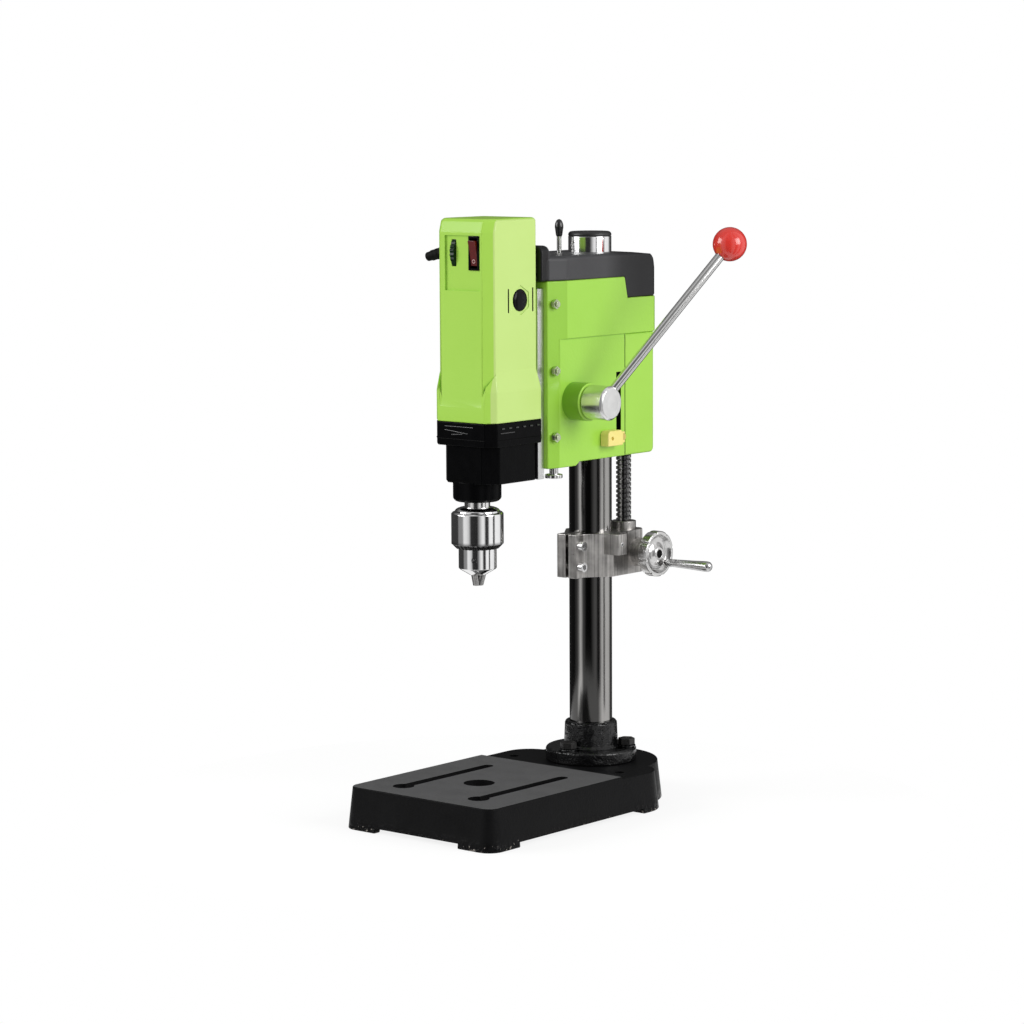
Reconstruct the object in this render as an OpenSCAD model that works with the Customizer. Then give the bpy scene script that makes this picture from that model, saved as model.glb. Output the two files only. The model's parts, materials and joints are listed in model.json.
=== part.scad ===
// Benchtop drill press with a sliding motor carriage, keyed chuck and screw lift.
// Millimetres. The origin is where the column axis meets the bench.
// The spindle is in front at -Y, the levers are at +X, and +Z is up.

/* [Base] */
// Half width of the base at the table
base_half_w = 95; // [85:1:110]
// Distance from the column axis to the front edge of the table
base_front = 277; // [255:1:300]
// Height of the machined table above the bench
table_z = 43.5; // [34:1:50]
// Step from the machined table down to the rear deck
deck_step = 2.5; // [1:0.5:6]
// Outward draft of the side walls from top to bottom
base_draft = 5; // [2:0.5:8]
// Thickness of the table plate and the walls
base_wall = 9; // [7:0.5:12]
// Height of the cast feet under the rim
foot_h = 5; // [3:0.5:8]
// Length of the front feet along the base edges
foot_l = 45; // [30:1:60]
// Radius of the rear lobe round the column
lobe_r = 70; // [64:1:78]
// Distance from the column axis to the rear end of the straight table sides
side_end = 6; // [0:1:15]
// Distance from the column axis to the rear edge of the machined table
table_rear = 68; // [60:1:80]
// Diameter of the clearance hole under the spindle
table_hole_d = 32; // [20:1:40]
// Distance between the two clamping slots
slot_pitch = 100; // [80:1:120]
// Width of a clamping slot
slot_w = 12; // [8:0.5:16]
// Length of a clamping slot
slot_l = 149; // [120:1:170]
// Width of the round entry at the front end of a slot
slot_entry_w = 22; // [17:1:28]
// How far the clamp slots sit behind the spindle axis
slot_shift = 4; // [0:0.5:8]
// Diameter of the bench bolt holes
bench_hole_d = 10; // [8:0.5:13]
// Distance between the two bench bolt holes
bench_hole_pitch = 142; // [120:1:160]
// Distance from the column axis forward to the bench bolt holes
bench_hole_back = 42; // [36:1:50]

/* [Column] */
// Diameter of the column
column_d = 45; // [40:1:50]
// Wall of the column tube
column_wall = 4; // [3:0.5:6]
// Height of the column's top above the bench
column_top = 593; // [580:1:640]
// Thickness of the plug's rim on top of the column
plug_t = 5; // [3:0.5:8]
// Depth of the plug's spigot
plug_depth = 12; // [8:1:20]
// Radius of the flange disc
flange_r = 48; // [44:1:54]
// Thickness of the flange disc
flange_t = 14; // [10:0.5:18]
// Outer diameter of the flange's collar
collar_d = 57; // [54:0.5:64]
// Height of the collar above the disc
collar_h = 28; // [20:1:40]
// Radius of the flange's bolt circle
flange_bolt_r = 38; // [36.5:0.5:41]
// Diameter of the flange bolts
flange_bolt_d = 10; // [8:0.5:12]

/* [Lift bracket] */
// Height of the underside of the lift bracket
bracket_z = 238; // [200:1:260]
// Height of the lift bracket
bracket_h = 46; // [40:1:52]
// Half width of the bracket's main block
bracket_half_w = 32; // [30:1:36]
// Distance from the column axis to the bracket's rear face
bracket_back = 54; // [52:1:60]
// Half width of the two clamp ears
ear_half_w = 13; // [11:0.5:16]
// Distance from the column axis to the front of the ears
ear_front = 40; // [36:1:46]
// Width of the clamp slit
slit_w = 3.5; // [2:0.5:5]
// Diameter of the clamp bolts
clamp_bolt_d = 6; // [5:0.5:8]
// Height of the clamp bolts' centres above and below the bracket's middle
clamp_bolt_dz = 11; // [9:0.5:13]
// Sideways place of the lead screw
screw_x = 13; // [10:0.5:16]
// Distance from the column axis back to the lead screw
screw_y = 40; // [38:0.5:42]
// Diameter of the lead screw
screw_d = 16; // [12:0.5:16]
// Height of the lead screw's top
screw_top = 440; // [420:1:460]
// Height of the handwheel's axis above the bracket's underside
wheel_axis_h = 22; // [18:0.5:24]
// Diameter of the handwheel
wheel_d = 48; // [40:1:56]
// Width of the handwheel's rim
wheel_rim_w = 11; // [8:0.5:14]
// Sideways place of the handwheel's inner face
wheel_x = 50; // [44:0.5:52]
// Diameter of the handwheel's shaft
wheel_shaft_d = 8; // [7:0.5:10]
// Radius from the handwheel's axis to its grip
grip_r = 18.5; // [16:0.5:20]
// Angle of the grip below the horizontal at rest
grip_angle = 36; // [0:1:60]
// Length of the revolving grip
grip_l = 56; // [40:1:70]
// Diameter of the grip at its outer end
grip_d = 11; // [9:0.5:14]

/* [Head] */
// Height of the head's underside at the rear
head_z = 366; // [355:1:380]
// Extra depth of the head's underside at the front
head_drop = 4; // [2:0.5:8]
// Half width of the head's lower part
head_half_w = 44; // [42:0.5:48]
// How far the head's upper band stands proud of the lower part
band_proud = 2.5; // [1:0.5:4]
// How far the head's front corners fall in
corner_fall = 3.5; // [2:0.5:5]
// Height of the ledge under the upper band
band_z = 493; // [480:1:500]
// Height of the head's top under the cap
head_top = 552; // [545:1:560]
// Distance from the column axis to the head's front face
head_front = 120; // [116:1:124]
// Distance from the column axis to the head's rear face
head_back = 57; // [52:1:60]
// Distance from the column axis back to the rear cover's joint line
cover_y = 3; // [1:0.5:5]
// Wall of the rear cover
cover_wall = 4; // [3:0.5:6]
// Thickness of the top cap above the head
cap_t = 25; // [20:1:30]
// Depth of the cap's rear lobe below the head's top
cap_lobe = 22; // [15:1:30]
// Chamfer along the cap's rear top edge
cap_chamfer = 14; // [8:1:18]
// Height of the head screw's lock rod above the cap
lock_rod_h = 16; // [12:1:24]
// Diameter of the lock rod
lock_rod_d = 5; // [4:0.5:7]
// Length of the oval knob on the lock rod
lock_knob_l = 18; // [14:1:24]
// Diameter of the oval knob on the lock rod
lock_knob_d = 9; // [8:0.5:12]

/* [Feed] */
// Distance from the column axis forward to the feed shaft
feed_y = 82; // [80:0.5:84]
// Height of the feed shaft
feed_z = 429; // [420:1:435]
// Diameter of the feed shaft
feed_d = 14; // [12:0.5:16]
// Module of the feed pinion and rack
feed_module = 2; // [1.8:0.1:2.2]
// Number of teeth on the feed pinion
feed_teeth = 20; // [18:1:22]
// Width of the feed pinion and rack
feed_face = 14; // [10:1:16]
// Diameter of the green boss round the feed shaft
feed_boss_d = 39; // [36:1:44]
// Sideways place of the boss face
feed_boss_x = 65.5; // [62:0.5:68]
// Diameter of the lever hub
hub_d = 35; // [30:1:40]
// Length of the lever hub
hub_l = 27.5; // [24:0.5:32]
// Length of the feed lever from the shaft's axis to the ball's centre
lever_l = 210; // [180:1:240]
// Diameter of the lever rod
lever_d = 10; // [8:0.5:12]
// Outward lean of the lever from the square of the shaft
lever_lean = 20; // [10:1:25]
// Angle of the lever above the level, towards the rear
lever_rise = 53; // [40:1:60]
// Diameter of the ball on the lever
ball_d = 35; // [30:1:40]
// Diameter of the return spring's cup
spring_cup_d = 50; // [46:1:56]
// Width of the return spring's cup
spring_cup_w = 16; // [12:1:20]

/* [Depth stop] */
// Distance from the column axis forward to the depth slot
stop_y = 8; // [4:0.5:12]
// Width of the depth slot
stop_slot_w = 8; // [6:0.5:10]
// Height of the stop slot above the head's underside
stop_slot_up = 14; // [10:1:20]
// Length of the depth slot
stop_slot_l = 74; // [60:1:80]
// Depth of the depth slot
stop_slot_depth = 12; // [10:0.5:14]
// Width of the stop block
stop_w = 25; // [20:0.5:28]
// Height of the stop block
stop_h = 16; // [12:0.5:20]
// Thickness of the stop block
stop_t = 11; // [8:0.5:14]

/* [Slide] */
// Half width of the dovetail at its neck
dove_neck = 15; // [12:0.5:18]
// Half width of the dovetail at its rear face
dove_wide = 22; // [20:0.5:25]
// Depth of the dovetail in the head
dove_depth = 15; // [12:0.5:17]
// Thickness of the gib strip
gib_t = 4; // [3:0.5:5]
// Sliding gap on each face of the dovetail
slide_gap = 0.15; // [0.1:0.05:0.3]
// Height of the top of the slide
slide_top = 545; // [530:1:550]
// Height of the bottom of the slide
slide_low = 352; // [345:1:390]
// Half width of the slide's mounting plate
slide_plate_w = 36; // [32:0.5:36]
// Travel of the motor carriage
feed_travel = 62; // [50:1:65]

/* [Motor] */
// Distance from the column axis forward to the spindle
spindle_y = 183; // [180:0.5:186]
// Distance from the spindle back to the motor's axis
motor_offset = 26; // [25.5:0.1:26.5]
// Half width of the upper motor housing
motor_half_w = 36.5; // [34:0.5:39]
// Distance from the column axis to the motor's front face
motor_front = 206; // [203:1:209]
// Distance from the column axis to the motor's rear face
motor_rear = 130; // [128.5:0.5:131]
// Chamfer on the motor's front corners
motor_chamfer = 9.5; // [7:0.5:12]
// Height of the motor's top
motor_top = 617; // [612:1:625]
// Rounding of the motor's top edge
motor_round = 2.5; // [1.5:0.5:4]
// Height of the green skirt's lower edge
skirt_z = 414; // [410:1:418]
// Height of the skirt's straight part
skirt_h = 31; // [25:1:36]
// Height of the slope between the skirt and the upper housing
flare_h = 20; // [14:1:26]
// How far the skirt stands out on each side
skirt_out = 3.5; // [2:0.5:5]
// Height of the plain band below the dip in the skirt's front
dip_low = 15; // [11:1:19]
// How far the front of the motor's top leans back
front_lean = 3; // [1:0.5:4]
// Radius of the field coil's seat in the housing
field_r = 24.5; // [23.5:0.25:24.75]
// Height of the gearbox rim
rim_h = 24; // [20:1:28]
// Height of the gearbox below its rim
box_h = 38; // [34:1:42]
// How far the gearbox steps in below its rim
box_step = 4.5; // [2:0.5:6]
// Diameter of the gearbox nose
nose_d = 49; // [44:1:54]
// Height of the gearbox nose
nose_h = 19; // [16:1:24]
// Diameter of the brush caps
brush_cap_d = 22; // [18:1:24]
// Height of the brush axis
brush_z = 535; // [532:1:538]
// Width of the switch panel
panel_w = 46; // [44:1:48]
// Height of the switch panel
panel_h = 55; // [50:1:58]
// Depth of the switch panel
panel_depth = 2; // [1:0.5:3]
// Height of the switch panel's middle above the bench
panel_z = 573; // [568:1:576]
// Sideways place of the speed wheel
dial_x = -10.5; // [-12:0.5:-8]
// Diameter of the speed wheel
dial_d = 44; // [40:1:46]
// Width of the speed wheel
dial_w = 5.4; // [4.6:0.2:7]
// How far the speed wheel stands out of the panel
dial_proud = 4.2; // [3:0.2:6]
// Height of the switches' middle
switch_z = 583; // [580:1:584]
// Sideways place of the rocker switch
rocker_x = 16; // [14:0.25:17]
// Width of the rocker switch bezel
bezel_w = 13.5; // [12:0.5:16]
// Height of the rocker switch bezel
bezel_h = 34; // [30:1:36]
// Diameter of the cable sleeve
sleeve_d = 12.5; // [10:0.5:15]
// Length of the cable sleeve
sleeve_l = 42; // [30:1:50]
// Droop of the cable sleeve
sleeve_droop = 14; // [5:1:20]

/* [Gear train] */
// Module of the gears
gear_module = 1; // [0.98:0.005:1.02]
// Number of teeth on the armature pinion
pinion_teeth = 8; // [8:1:9]
// Number of teeth on the first reduction gear
lay_big_teeth = 28; // [26:1:28]
// Number of teeth on the second pinion
lay_small_teeth = 10; // [9:1:11]
// Number of teeth on the spindle gear
spindle_teeth = 28; // [26:1:28]
// Face width of the gears
gear_face = 9; // [7:0.5:10]
// Pressure angle of all teeth
tooth_angle = 25; // [20:1:25]
// Play between teeth in mesh
tooth_play = 0.25; // [0.15:0.05:0.4]

/* [Chuck] */
// Height of the jaw tips above the bench at rest
jaw_tip_z = 247; // [240:1:255]
// Diameter of the chuck's sleeve
sleeve_ring_d = 53; // [50:0.5:56]
// Height of the chuck's sleeve
sleeve_ring_h = 37; // [32:1:42]
// Diameter of the chuck body below its sleeve
chuck_d = 38.5; // [36:0.5:42]
// Length of the chuck body below its sleeve
chuck_low_h = 21; // [18:1:26]
// Height of the cone at the chuck's nose
chuck_cone_h = 6; // [4:0.5:10]
// Length of the jaws below the chuck's nose
jaw_out = 11; // [8:0.5:14]
// Diameter of a jaw
jaw_d = 7; // [6:0.25:8]
// Lean of the jaws from the chuck's axis
jaw_lean = 15; // [13:0.5:16]
// Upward travel of the jaws from closed to open
jaw_travel = 18; // [12:0.5:18]
// Number of rack teeth round the sleeve's lower end
chuck_teeth = 30; // [24:1:36]
// Diameter of the spindle between the nose and the chuck
spindle_d = 26; // [22:1:28]

/* [Fits] */
// Radial clearance of a shaft in its bearing
run_fit = 0.06; // [0.03:0.01:0.1]
// Clearance between pieces that move past each other
gap = 0.3; // [0.3:0.05:0.6]

/* [Hidden] */
$fn = 64;
// Overshoot of a cut past the face that it opens
cut = 1;

// Base and column
base_corner_r = 12;
base_rear_r = 30;
base_rear = side_end;
deck_z = table_z - deck_step;
base_low_front = base_front + base_draft;
base_low_w = base_half_w + base_draft;
rear_foot_y = 37;
lobe_wall = 18;
column_r = column_d / 2;
slot_y = spindle_y - slot_l / 2 - slot_shift;
flange_bolt_head_h = 7;
flange_bolt_depth = 20;
flange_angles = [30, 150, 270];

// Lift bracket, handwheel and lead screw
bracket_top = bracket_z + bracket_h;
bracket_mid = bracket_z + bracket_h / 2;
bracket_front = 10;
wheel_z = bracket_z + wheel_axis_h;
screw_boss_h = 8;
screw_boss_top = bracket_top + screw_boss_h;
journal_d = 10;
bevel_in = 4;
bevel_out = 7;
bevel_teeth = 8;
bevel_tooth_w = 0.9;
bevel_add = 0.7;
bevel_ded = 0.9;
bevel_hub = 5;
pocket_w = 2 * (bevel_out + 2);
pocket_top = wheel_z + bevel_out + bevel_hub + gap;
wheel_boss_d = 30;
wheel_r = wheel_d / 2;
wheel_web = 4;
wheel_rim = 5;
wheel_hub_d = 18;
grip_pin_d = 5;
grip_y = screw_y + grip_r * cos(grip_angle);
grip_z = wheel_z - grip_r * sin(grip_angle);
grip_x = wheel_x + wheel_rim_w + gap;
lug_y = [-10, 5];
lug_x = 45;
lug_h = 22;
set_screw_d = 5;
screw_head_h = 6;
screw_head_d = clamp_bolt_d * 1.7;
clamp_bolt_y = ear_front - screw_head_d / 2 - 1;

// Head, slide and feed
band_half_w = head_half_w + band_proud;
band_ramp = 25;
corner_half_w = head_half_w - corner_fall;
corner_ramp = band_ramp * corner_fall / (corner_fall + band_proud);
head_step_y = 72;
core_wall = 9;
core_y = [-92, -37];
core_up = 34;
core_low = feed_z + core_up;
sleeve_wall = 6.5;
bore_r = column_r + run_fit;
head_sleeve_r = column_r + sleeve_wall;
cap_z = head_top + cap_t;
cap_fall = 3;
cap_level_y = 8;
lobe_z = head_top - cap_lobe;
lobe_y = 0;
lobe_slope = 5;
hood_half_w = 40;
hood_y = [128, 114];
hood_h = 36;
hood_round = 8;
lock_x = -20;
lock_y = -26;
lock_depth = 40;
dove_rear = head_front - dove_depth;
dove_slope = (dove_wide - dove_neck) / dove_depth;
flank_x = sqrt(1 + dove_slope * dove_slope);
gib_gap_x = slide_gap * flank_x;
gib_x = gib_t * flank_x;
gib_screw_y = head_front - dove_depth / 2;
gib_screw_low = 28;
gib_screw_high = 23;
gib_screw_step = (head_top - head_z - gib_screw_low - gib_screw_high) / 2;
gib_screw_z = [for (i = [0 : 2]) head_z + gib_screw_low + i * gib_screw_step];
stop_slot_z = head_z + stop_slot_up;
stop_arm_t = 4;
gib_screw_d = 6;
gib_top = head_top - 6;
feed_r = feed_module * feed_teeth / 2;
tooth_add = 0.8;
tooth_ded = 1.05;
rack_y = feed_y + feed_r;
rack_low = feed_z - 6;
rack_pitch = PI * feed_module;
rack_count = ceil((feed_travel + 24) / rack_pitch);
rack_high = feed_z + (rack_count - 1) * rack_pitch;
hub_x = feed_boss_x + gap;
lever_x = hub_x + hub_l - 12;
cup_x = -head_half_w - spring_cup_w;
cup_wall = 3;
lever_dir = [sin(lever_lean), cos(lever_lean) * cos(lever_rise), cos(lever_lean) * sin(lever_rise)];
ball_pos = [lever_x, -feed_y, feed_z] + lever_l * lever_dir;
nut_flange_d = 26;
nut_hub_d = 20;
nut_h = 22;
nut_flange_t = 6;
stud_x = 36;
stud_y = 105;
stud_d = 9;
stud_flange_d = 18;
stud_l = 6.5;
stud_flange_t = 4;

// Motor and gear train
motor_y = spindle_y - motor_offset;
skirt_top = skirt_z + skirt_h;
flare_top = skirt_top + flare_h;
skirt_half_w = motor_half_w + skirt_out;
skirt_front = motor_front + skirt_out / 2;
skirt_rear = motor_rear - skirt_out;
dip_slope = 12;
dip_z = skirt_z + dip_low + dip_slope;
lean_z = motor_top - 13;
box_chamfer = motor_chamfer + 4;
rim_z = skirt_z - rim_h;
box_z = rim_z - box_h;
nose_z = box_z - nose_h;
nose_chamfer = 3;
plate_t = 6;
shaft_d = 8;
bay_z = [560, 608];
bay_half_w = motor_half_w - 4.5;
bay_y = [motor_front - panel_depth - 4, motor_rear + 5];
panel_x = 2;
brush_w = 6;
brush_l = 12;
brush_cap_t = 3;
brush_hex_d = 30;
vent_w = 2;
vent_l = 24;
vent_dy = 19;
dial_y = motor_front - panel_depth + dial_proud - dial_d / 2;
dial_pin_d = 4;
bezel_t = 1.5;
bezel_frame = 2;
bezel_depth = 14;
rocker_y = motor_front - panel_depth - 2;
rocker_half_h = bezel_h / 2 - bezel_frame - 2.3;
rocker_half_w = bezel_w / 2 - bezel_frame - gap;
rocker_out = 5.5;
rocker_deep = 6;
rocker_pin_d = 3;
sleeve_y = 165;
sleeve_z = switch_z + 3;
sleeve_seat = 3;
sleeve_seat_d = sleeve_d - 4;
core_r = 17.5;
core_h = 60;
core_z = flare_top - 13;
air_gap = 0.8;
coil_over = 5;
commutator_r = 11;
commutator_h = 22;
fan_r = field_r - 2.5;
fan_h = 12;
fan_z = skirt_z + 6;
fan_blades = 10;
top_bearing_z = bay_z[0] - 12;
bearing_t = 7;
bearing_r = 9.5;
low_bearing_r = 11;
lay_d = 7;
lay_r = gear_module * (pinion_teeth + lay_big_teeth) / 2;
lay_s = gear_module * (lay_small_teeth + spindle_teeth) / 2;
lay_d_y = (lay_r * lay_r - lay_s * lay_s + motor_offset * motor_offset) / (2 * motor_offset);
lay_x = sqrt(lay_r * lay_r - lay_d_y * lay_d_y);
lay_y = motor_y + lay_d_y;
gear_hi_z = skirt_z - plate_t - 2 - gear_face;
gear_lo_z = gear_hi_z - 3 - gear_face;
to_lay = atan2(-lay_y + motor_y, lay_x);
to_spindle = atan2(-spindle_y + lay_y, -lay_x);
spindle_shaft_d = 15;
spindle_bearing_r = 14;
spindle_bearing_t = 7;
gear_room = 1.2;

// Chuck
chuck_nose_z = jaw_tip_z + jaw_out;
chuck_low_z = chuck_nose_z + chuck_cone_h;
ring_z = chuck_low_z + chuck_low_h;
ring_top = ring_z + sleeve_ring_h;
chuck_dome_h = 5;
chuck_top = ring_top + chuck_dome_h;
chuck_core_r = 17;
ring_wall_t = 3.2;
ring_bore_r = sleeve_ring_d / 2 - ring_wall_t;
jaw_start_r = 1.9;
jaw_slope = tan(jaw_lean);
jaw_bore_r = jaw_d / 2 + run_fit;
jaw_h = 46;
jaw_flat = 0.75;
jaw_gap = 0.25;
nut_t = 9;
ring_lip = 4.5;
ring_play = 0.1;
key_hole_d = 6;
chuck_bore_d = 14;

function arc(c, r, from, to, steps) =
  [for (i = [0 : steps]) c + r * [cos(from + (to - from) * i / steps),
    sin(from + (to - from) * i / steps)]];

// One tooth of an involute gear, as points from its right root to its left root
function involute(base, r) = r <= base ? 0 : sqrt(r * r / (base * base) - 1)
  * 180 / PI - acos(base / r);
function tooth_half(count, mod, r) =
  let (pitch = count * mod / 2, base = pitch * cos(tooth_angle))
  90 / count - tooth_play / 2 / pitch * 90 / PI + involute(base, pitch) - involute(base,
    max(r, base));
function gear_points(count, mod, phase) =
  let (
    pitch = count * mod / 2,
    radii = [for (f = [-tooth_ded, -0.5, 0, 0.4, tooth_add]) pitch + f * mod]
  )
  [for (i = [0 : count - 1]) each [
    for (r = radii) let (a = phase + i * 360 / count - tooth_half(count, mod, r)) r * [cos(a),
      sin(a)],
    for (k = [len(radii) - 1 : -1 : 0])
      let (a = phase + i * 360 / count + tooth_half(count, mod, radii[k])) radii[k] * [cos(a),
        sin(a)]
  ]];

module rod_z(d, z0, z1, x, y) {
  translate([x, y, z0]) cylinder(d = d, h = z1 - z0);
}
module rod_x(d, x0, x1, y, z) {
  translate([x0, y, z]) rotate([0, 90, 0]) cylinder(d = d, h = x1 - x0);
}
module hex_z(d, z0, z1, x, y) {
  translate([x, y, z0]) cylinder(d = d, h = z1 - z0, $fn = 6);
}
module hex_x(d, x0, x1, y, z) {
  translate([x0, y, z]) rotate([0, 90, 0]) cylinder(d = d, h = x1 - x0, $fn = 6);
}
module block(x, y, z) {
  translate([x[0], y[0], z[0]]) cube([x[1] - x[0], y[1] - y[0], z[1] - z[0]]);
}
// A block between two heights whose four upright edges are rounded and whose walls lean out downwards
module drafted(half_w, front, rear, front_r, rear_r, z0, z1, draft) {
  hull() for (s = [-1, 1]) {
    translate([s * (half_w - front_r), -front + front_r, z0])
      cylinder(r1 = front_r + draft, r2 = front_r, h = z1 - z0, $fn = 32);
    translate([s * (half_w - rear_r), rear - rear_r, z0])
      cylinder(r1 = rear_r + draft, r2 = rear_r, h = z1 - z0, $fn = 32);
  }
}

module base() {
  color("#1c1c1e") difference() {
    union() {
      drafted(base_half_w, base_front, base_rear, base_corner_r, base_rear_r, 0, table_z,
        base_draft);
      cylinder(r1 = lobe_r + base_draft, r2 = lobe_r, h = table_z);
    }
    block([-base_low_w, base_low_w], [-table_rear, lobe_r + base_draft + cut],
      [deck_z, table_z + cut]);
    intersection() {
      drafted(base_half_w - base_wall, base_front - base_wall, base_rear - base_wall,
        base_corner_r / 2,
        base_rear_r - base_wall, -cut, table_z - base_wall, base_draft);
      block([-base_low_w, base_low_w], [-base_low_front, -lobe_r], [-cut, table_z - base_wall]);
    }
    translate([0, 0, -cut]) cylinder(r = lobe_r - lobe_wall,
      h = deck_z - flange_bolt_depth - base_wall / 2 + cut);
    rod_z(table_hole_d, 0, table_z + cut, 0, -spindle_y);
    for (s = [-1, 1]) {
      rod_z(bench_hole_d, -cut, table_z, s * bench_hole_pitch / 2, -bench_hole_back);
      clamp_slot(s * slot_pitch / 2);
    }
    block([-base_low_w - cut, base_low_w + cut], [foot_l - base_low_front, -rear_foot_y],
      [-cut, foot_h]);
    block([foot_l - base_low_w, base_low_w - foot_l], [-base_low_front - cut, -rear_foot_y],
      [-cut, foot_h]);
    for (a = flange_angles)
      rotate(a) rod_z(flange_bolt_d, deck_z - flange_bolt_depth, deck_z + cut, flange_bolt_r, 0);
  }
}

module clamp_slot(x) {
  front = -slot_y - slot_l;
  block([x - slot_w / 2, x + slot_w / 2], [front + slot_entry_w / 2, -slot_y - slot_w / 2],
    [table_z - base_wall - cut, table_z + cut]);
  rod_z(slot_entry_w, table_z - base_wall - cut, table_z + cut, x, front + slot_entry_w / 2);
  rod_z(slot_w, table_z - base_wall - cut, table_z + cut, x, -slot_y - slot_w / 2);
}

module column_flange() {
  bevel = 2;
  boss_r = 9.5;
  top = deck_z + flange_t;
  color("#161617") difference() {
    union() {
      rotate_extrude() polygon([
        [column_r, deck_z], [flange_r, deck_z], [flange_r, top - bevel], [flange_r - bevel, top],
        [collar_d / 2 + 3, top], [collar_d / 2, top + 3],
        [collar_d / 2 - 1, top + collar_h - bevel], [collar_d / 2 - 1 - bevel, top + collar_h],
        [column_r, top + collar_h]
      ]);
      for (a = flange_angles) rotate(a) rod_z(2 * boss_r, deck_z, top + 2, flange_bolt_r, 0);
    }
    for (a = flange_angles)
      rotate(a) rod_z(flange_bolt_d + 2 * gap, deck_z - cut, top + cut + 2, flange_bolt_r, 0);
    cylinder(r = column_r, h = table_z + flange_t + collar_h);
  }
}

module flange_bolts() {
  top = deck_z + flange_t + 2;
  color("#2a2a2c") for (a = flange_angles) rotate(a) {
    rod_z(flange_bolt_d, deck_z - flange_bolt_depth, top, flange_bolt_r, 0);
    hex_z(flange_bolt_d * 1.8, top, top + flange_bolt_head_h, flange_bolt_r, 0);
  }
}

module column() {
  color("silver") difference() {
    rod_z(column_d, deck_z, column_top, 0, 0);
    rod_z(column_d - 2 * column_wall, deck_z - cut, column_top + cut, 0, 0);
  }
}

module column_plug() {
  spigot_r = column_r - column_wall;
  color("#202022") rotate_extrude() polygon([
    [0, column_top - plug_depth], [spigot_r, column_top - plug_depth], [spigot_r, column_top],
    [column_r, column_top], [column_r, column_top + plug_t - 2], [column_r - 2,
      column_top + plug_t],
    [0, column_top + plug_t]
  ]);
}

module lift_bracket() {
  waist = 18;
  back_cut = 24;
  color("#b9bcc0") difference() {
    union() {
      translate([0, 0, bracket_z]) linear_extrude(bracket_h) polygon([
        [-ear_half_w, -ear_front], [ear_half_w, -ear_front], [ear_half_w, -bracket_front - waist],
        [bracket_half_w - 6, -bracket_front], [bracket_half_w, -bracket_front + 8],
        [bracket_half_w, bracket_back - 6], [bracket_half_w - 6, bracket_back],
        [-bracket_half_w + waist, bracket_back], [-bracket_half_w, bracket_back - back_cut],
        [-bracket_half_w, -bracket_front + 8], [-bracket_half_w + 6, -bracket_front],
        [-ear_half_w, -bracket_front - waist]
      ]);
      block([ear_half_w, lug_x], lug_y, [bracket_top - lug_h, bracket_top]);
      rod_x(wheel_boss_d, bracket_half_w - cut, wheel_x - gap, screw_y, wheel_z);
      rod_z(screw_d + 10, bracket_top - cut, screw_boss_top, screw_x, screw_y);
    }
    rod_z(2 * bore_r, bracket_z - cut, bracket_top + cut, 0, 0);
    block([-slit_w / 2, slit_w / 2], [-ear_front - cut, 0], [bracket_z - cut, bracket_top + cut]);
    for (s = [-1, 1])
      rod_x(clamp_bolt_d, -ear_half_w - cut, ear_half_w + cut, -clamp_bolt_y,
        bracket_mid + s * clamp_bolt_dz);
    rod_x(set_screw_d, bracket_half_w, lug_x + cut, (lug_y[0] + lug_y[1]) / 2,
      bracket_top - lug_h / 2);
    block([screw_x - pocket_w / 2, screw_x + bevel_out + bevel_hub + gap],
      [screw_y - pocket_w / 2, screw_y + pocket_w / 2], [bracket_z - cut, pocket_top]);
    rod_x(wheel_shaft_d + 2 * run_fit, screw_x, wheel_x + cut, screw_y, wheel_z);
    rod_z(journal_d + 2 * run_fit, wheel_z, screw_boss_top + cut, screw_x, screw_y);
  }
}

module bracket_screws() {
  color("#8d8f92") {
    for (s = [-1, 1]) difference() {
      union() {
        rod_x(clamp_bolt_d, -ear_half_w, ear_half_w, -clamp_bolt_y,
          bracket_mid + s * clamp_bolt_dz);
        rod_x(screw_head_d, ear_half_w, ear_half_w + screw_head_h, -clamp_bolt_y,
          bracket_mid + s * clamp_bolt_dz);
      }
      hex_x(clamp_bolt_d, ear_half_w + screw_head_h / 2, ear_half_w + screw_head_h + cut,
        -clamp_bolt_y, bracket_mid + s * clamp_bolt_dz);
    }
    difference() {
      rod_x(set_screw_d, bracket_half_w, lug_x, (lug_y[0] + lug_y[1]) / 2, bracket_top - lug_h / 2);
      hex_x(set_screw_d / 2, lug_x - 3, lug_x + cut, (lug_y[0] + lug_y[1]) / 2,
        bracket_top - lug_h / 2);
    }
  }
}

// A mitre gear on the Z axis whose cone points down at the origin
module mitre_gear(bore, phase) {
  small = bevel_in - bevel_ded;
  large = bevel_out - bevel_ded;
  slant = (bevel_out - bevel_in) * sqrt(2);
  difference() {
    union() {
      rotate_extrude() polygon([
        [bore / 2, bevel_in + bevel_ded], [small, bevel_in + bevel_ded],
        [large, bevel_out + bevel_ded], [large, bevel_out + bevel_hub],
          [bore / 2, bevel_out + bevel_hub]
      ]);
      for (i = [0 : bevel_teeth - 1])
        rotate(phase + i * 360 / bevel_teeth) translate([bevel_in, 0, bevel_in]) rotate([0, -45, 0])
          translate([0, -bevel_tooth_w / 2, -bevel_add]) cube([slant, bevel_tooth_w,
            bevel_add + 2 * bevel_ded]);
    }
    translate([0, 0, -cut]) cylinder(d = bore, h = bevel_out + bevel_hub + 2 * cut);
  }
}

module screw_bevel() {
  color("#7d7f83") translate([screw_x, screw_y, wheel_z]) mitre_gear(journal_d - 4, 0);
}

module lead_screw() {
  color("#26262a") {
    rod_z(screw_d, screw_boss_top + gap, screw_top, screw_x, screw_y);
    rod_z(journal_d, pocket_top, screw_boss_top + gap, screw_x, screw_y);
    rod_z(journal_d - 4, wheel_z + bevel_in + bevel_ded, pocket_top, screw_x, screw_y);
  }
}

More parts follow.
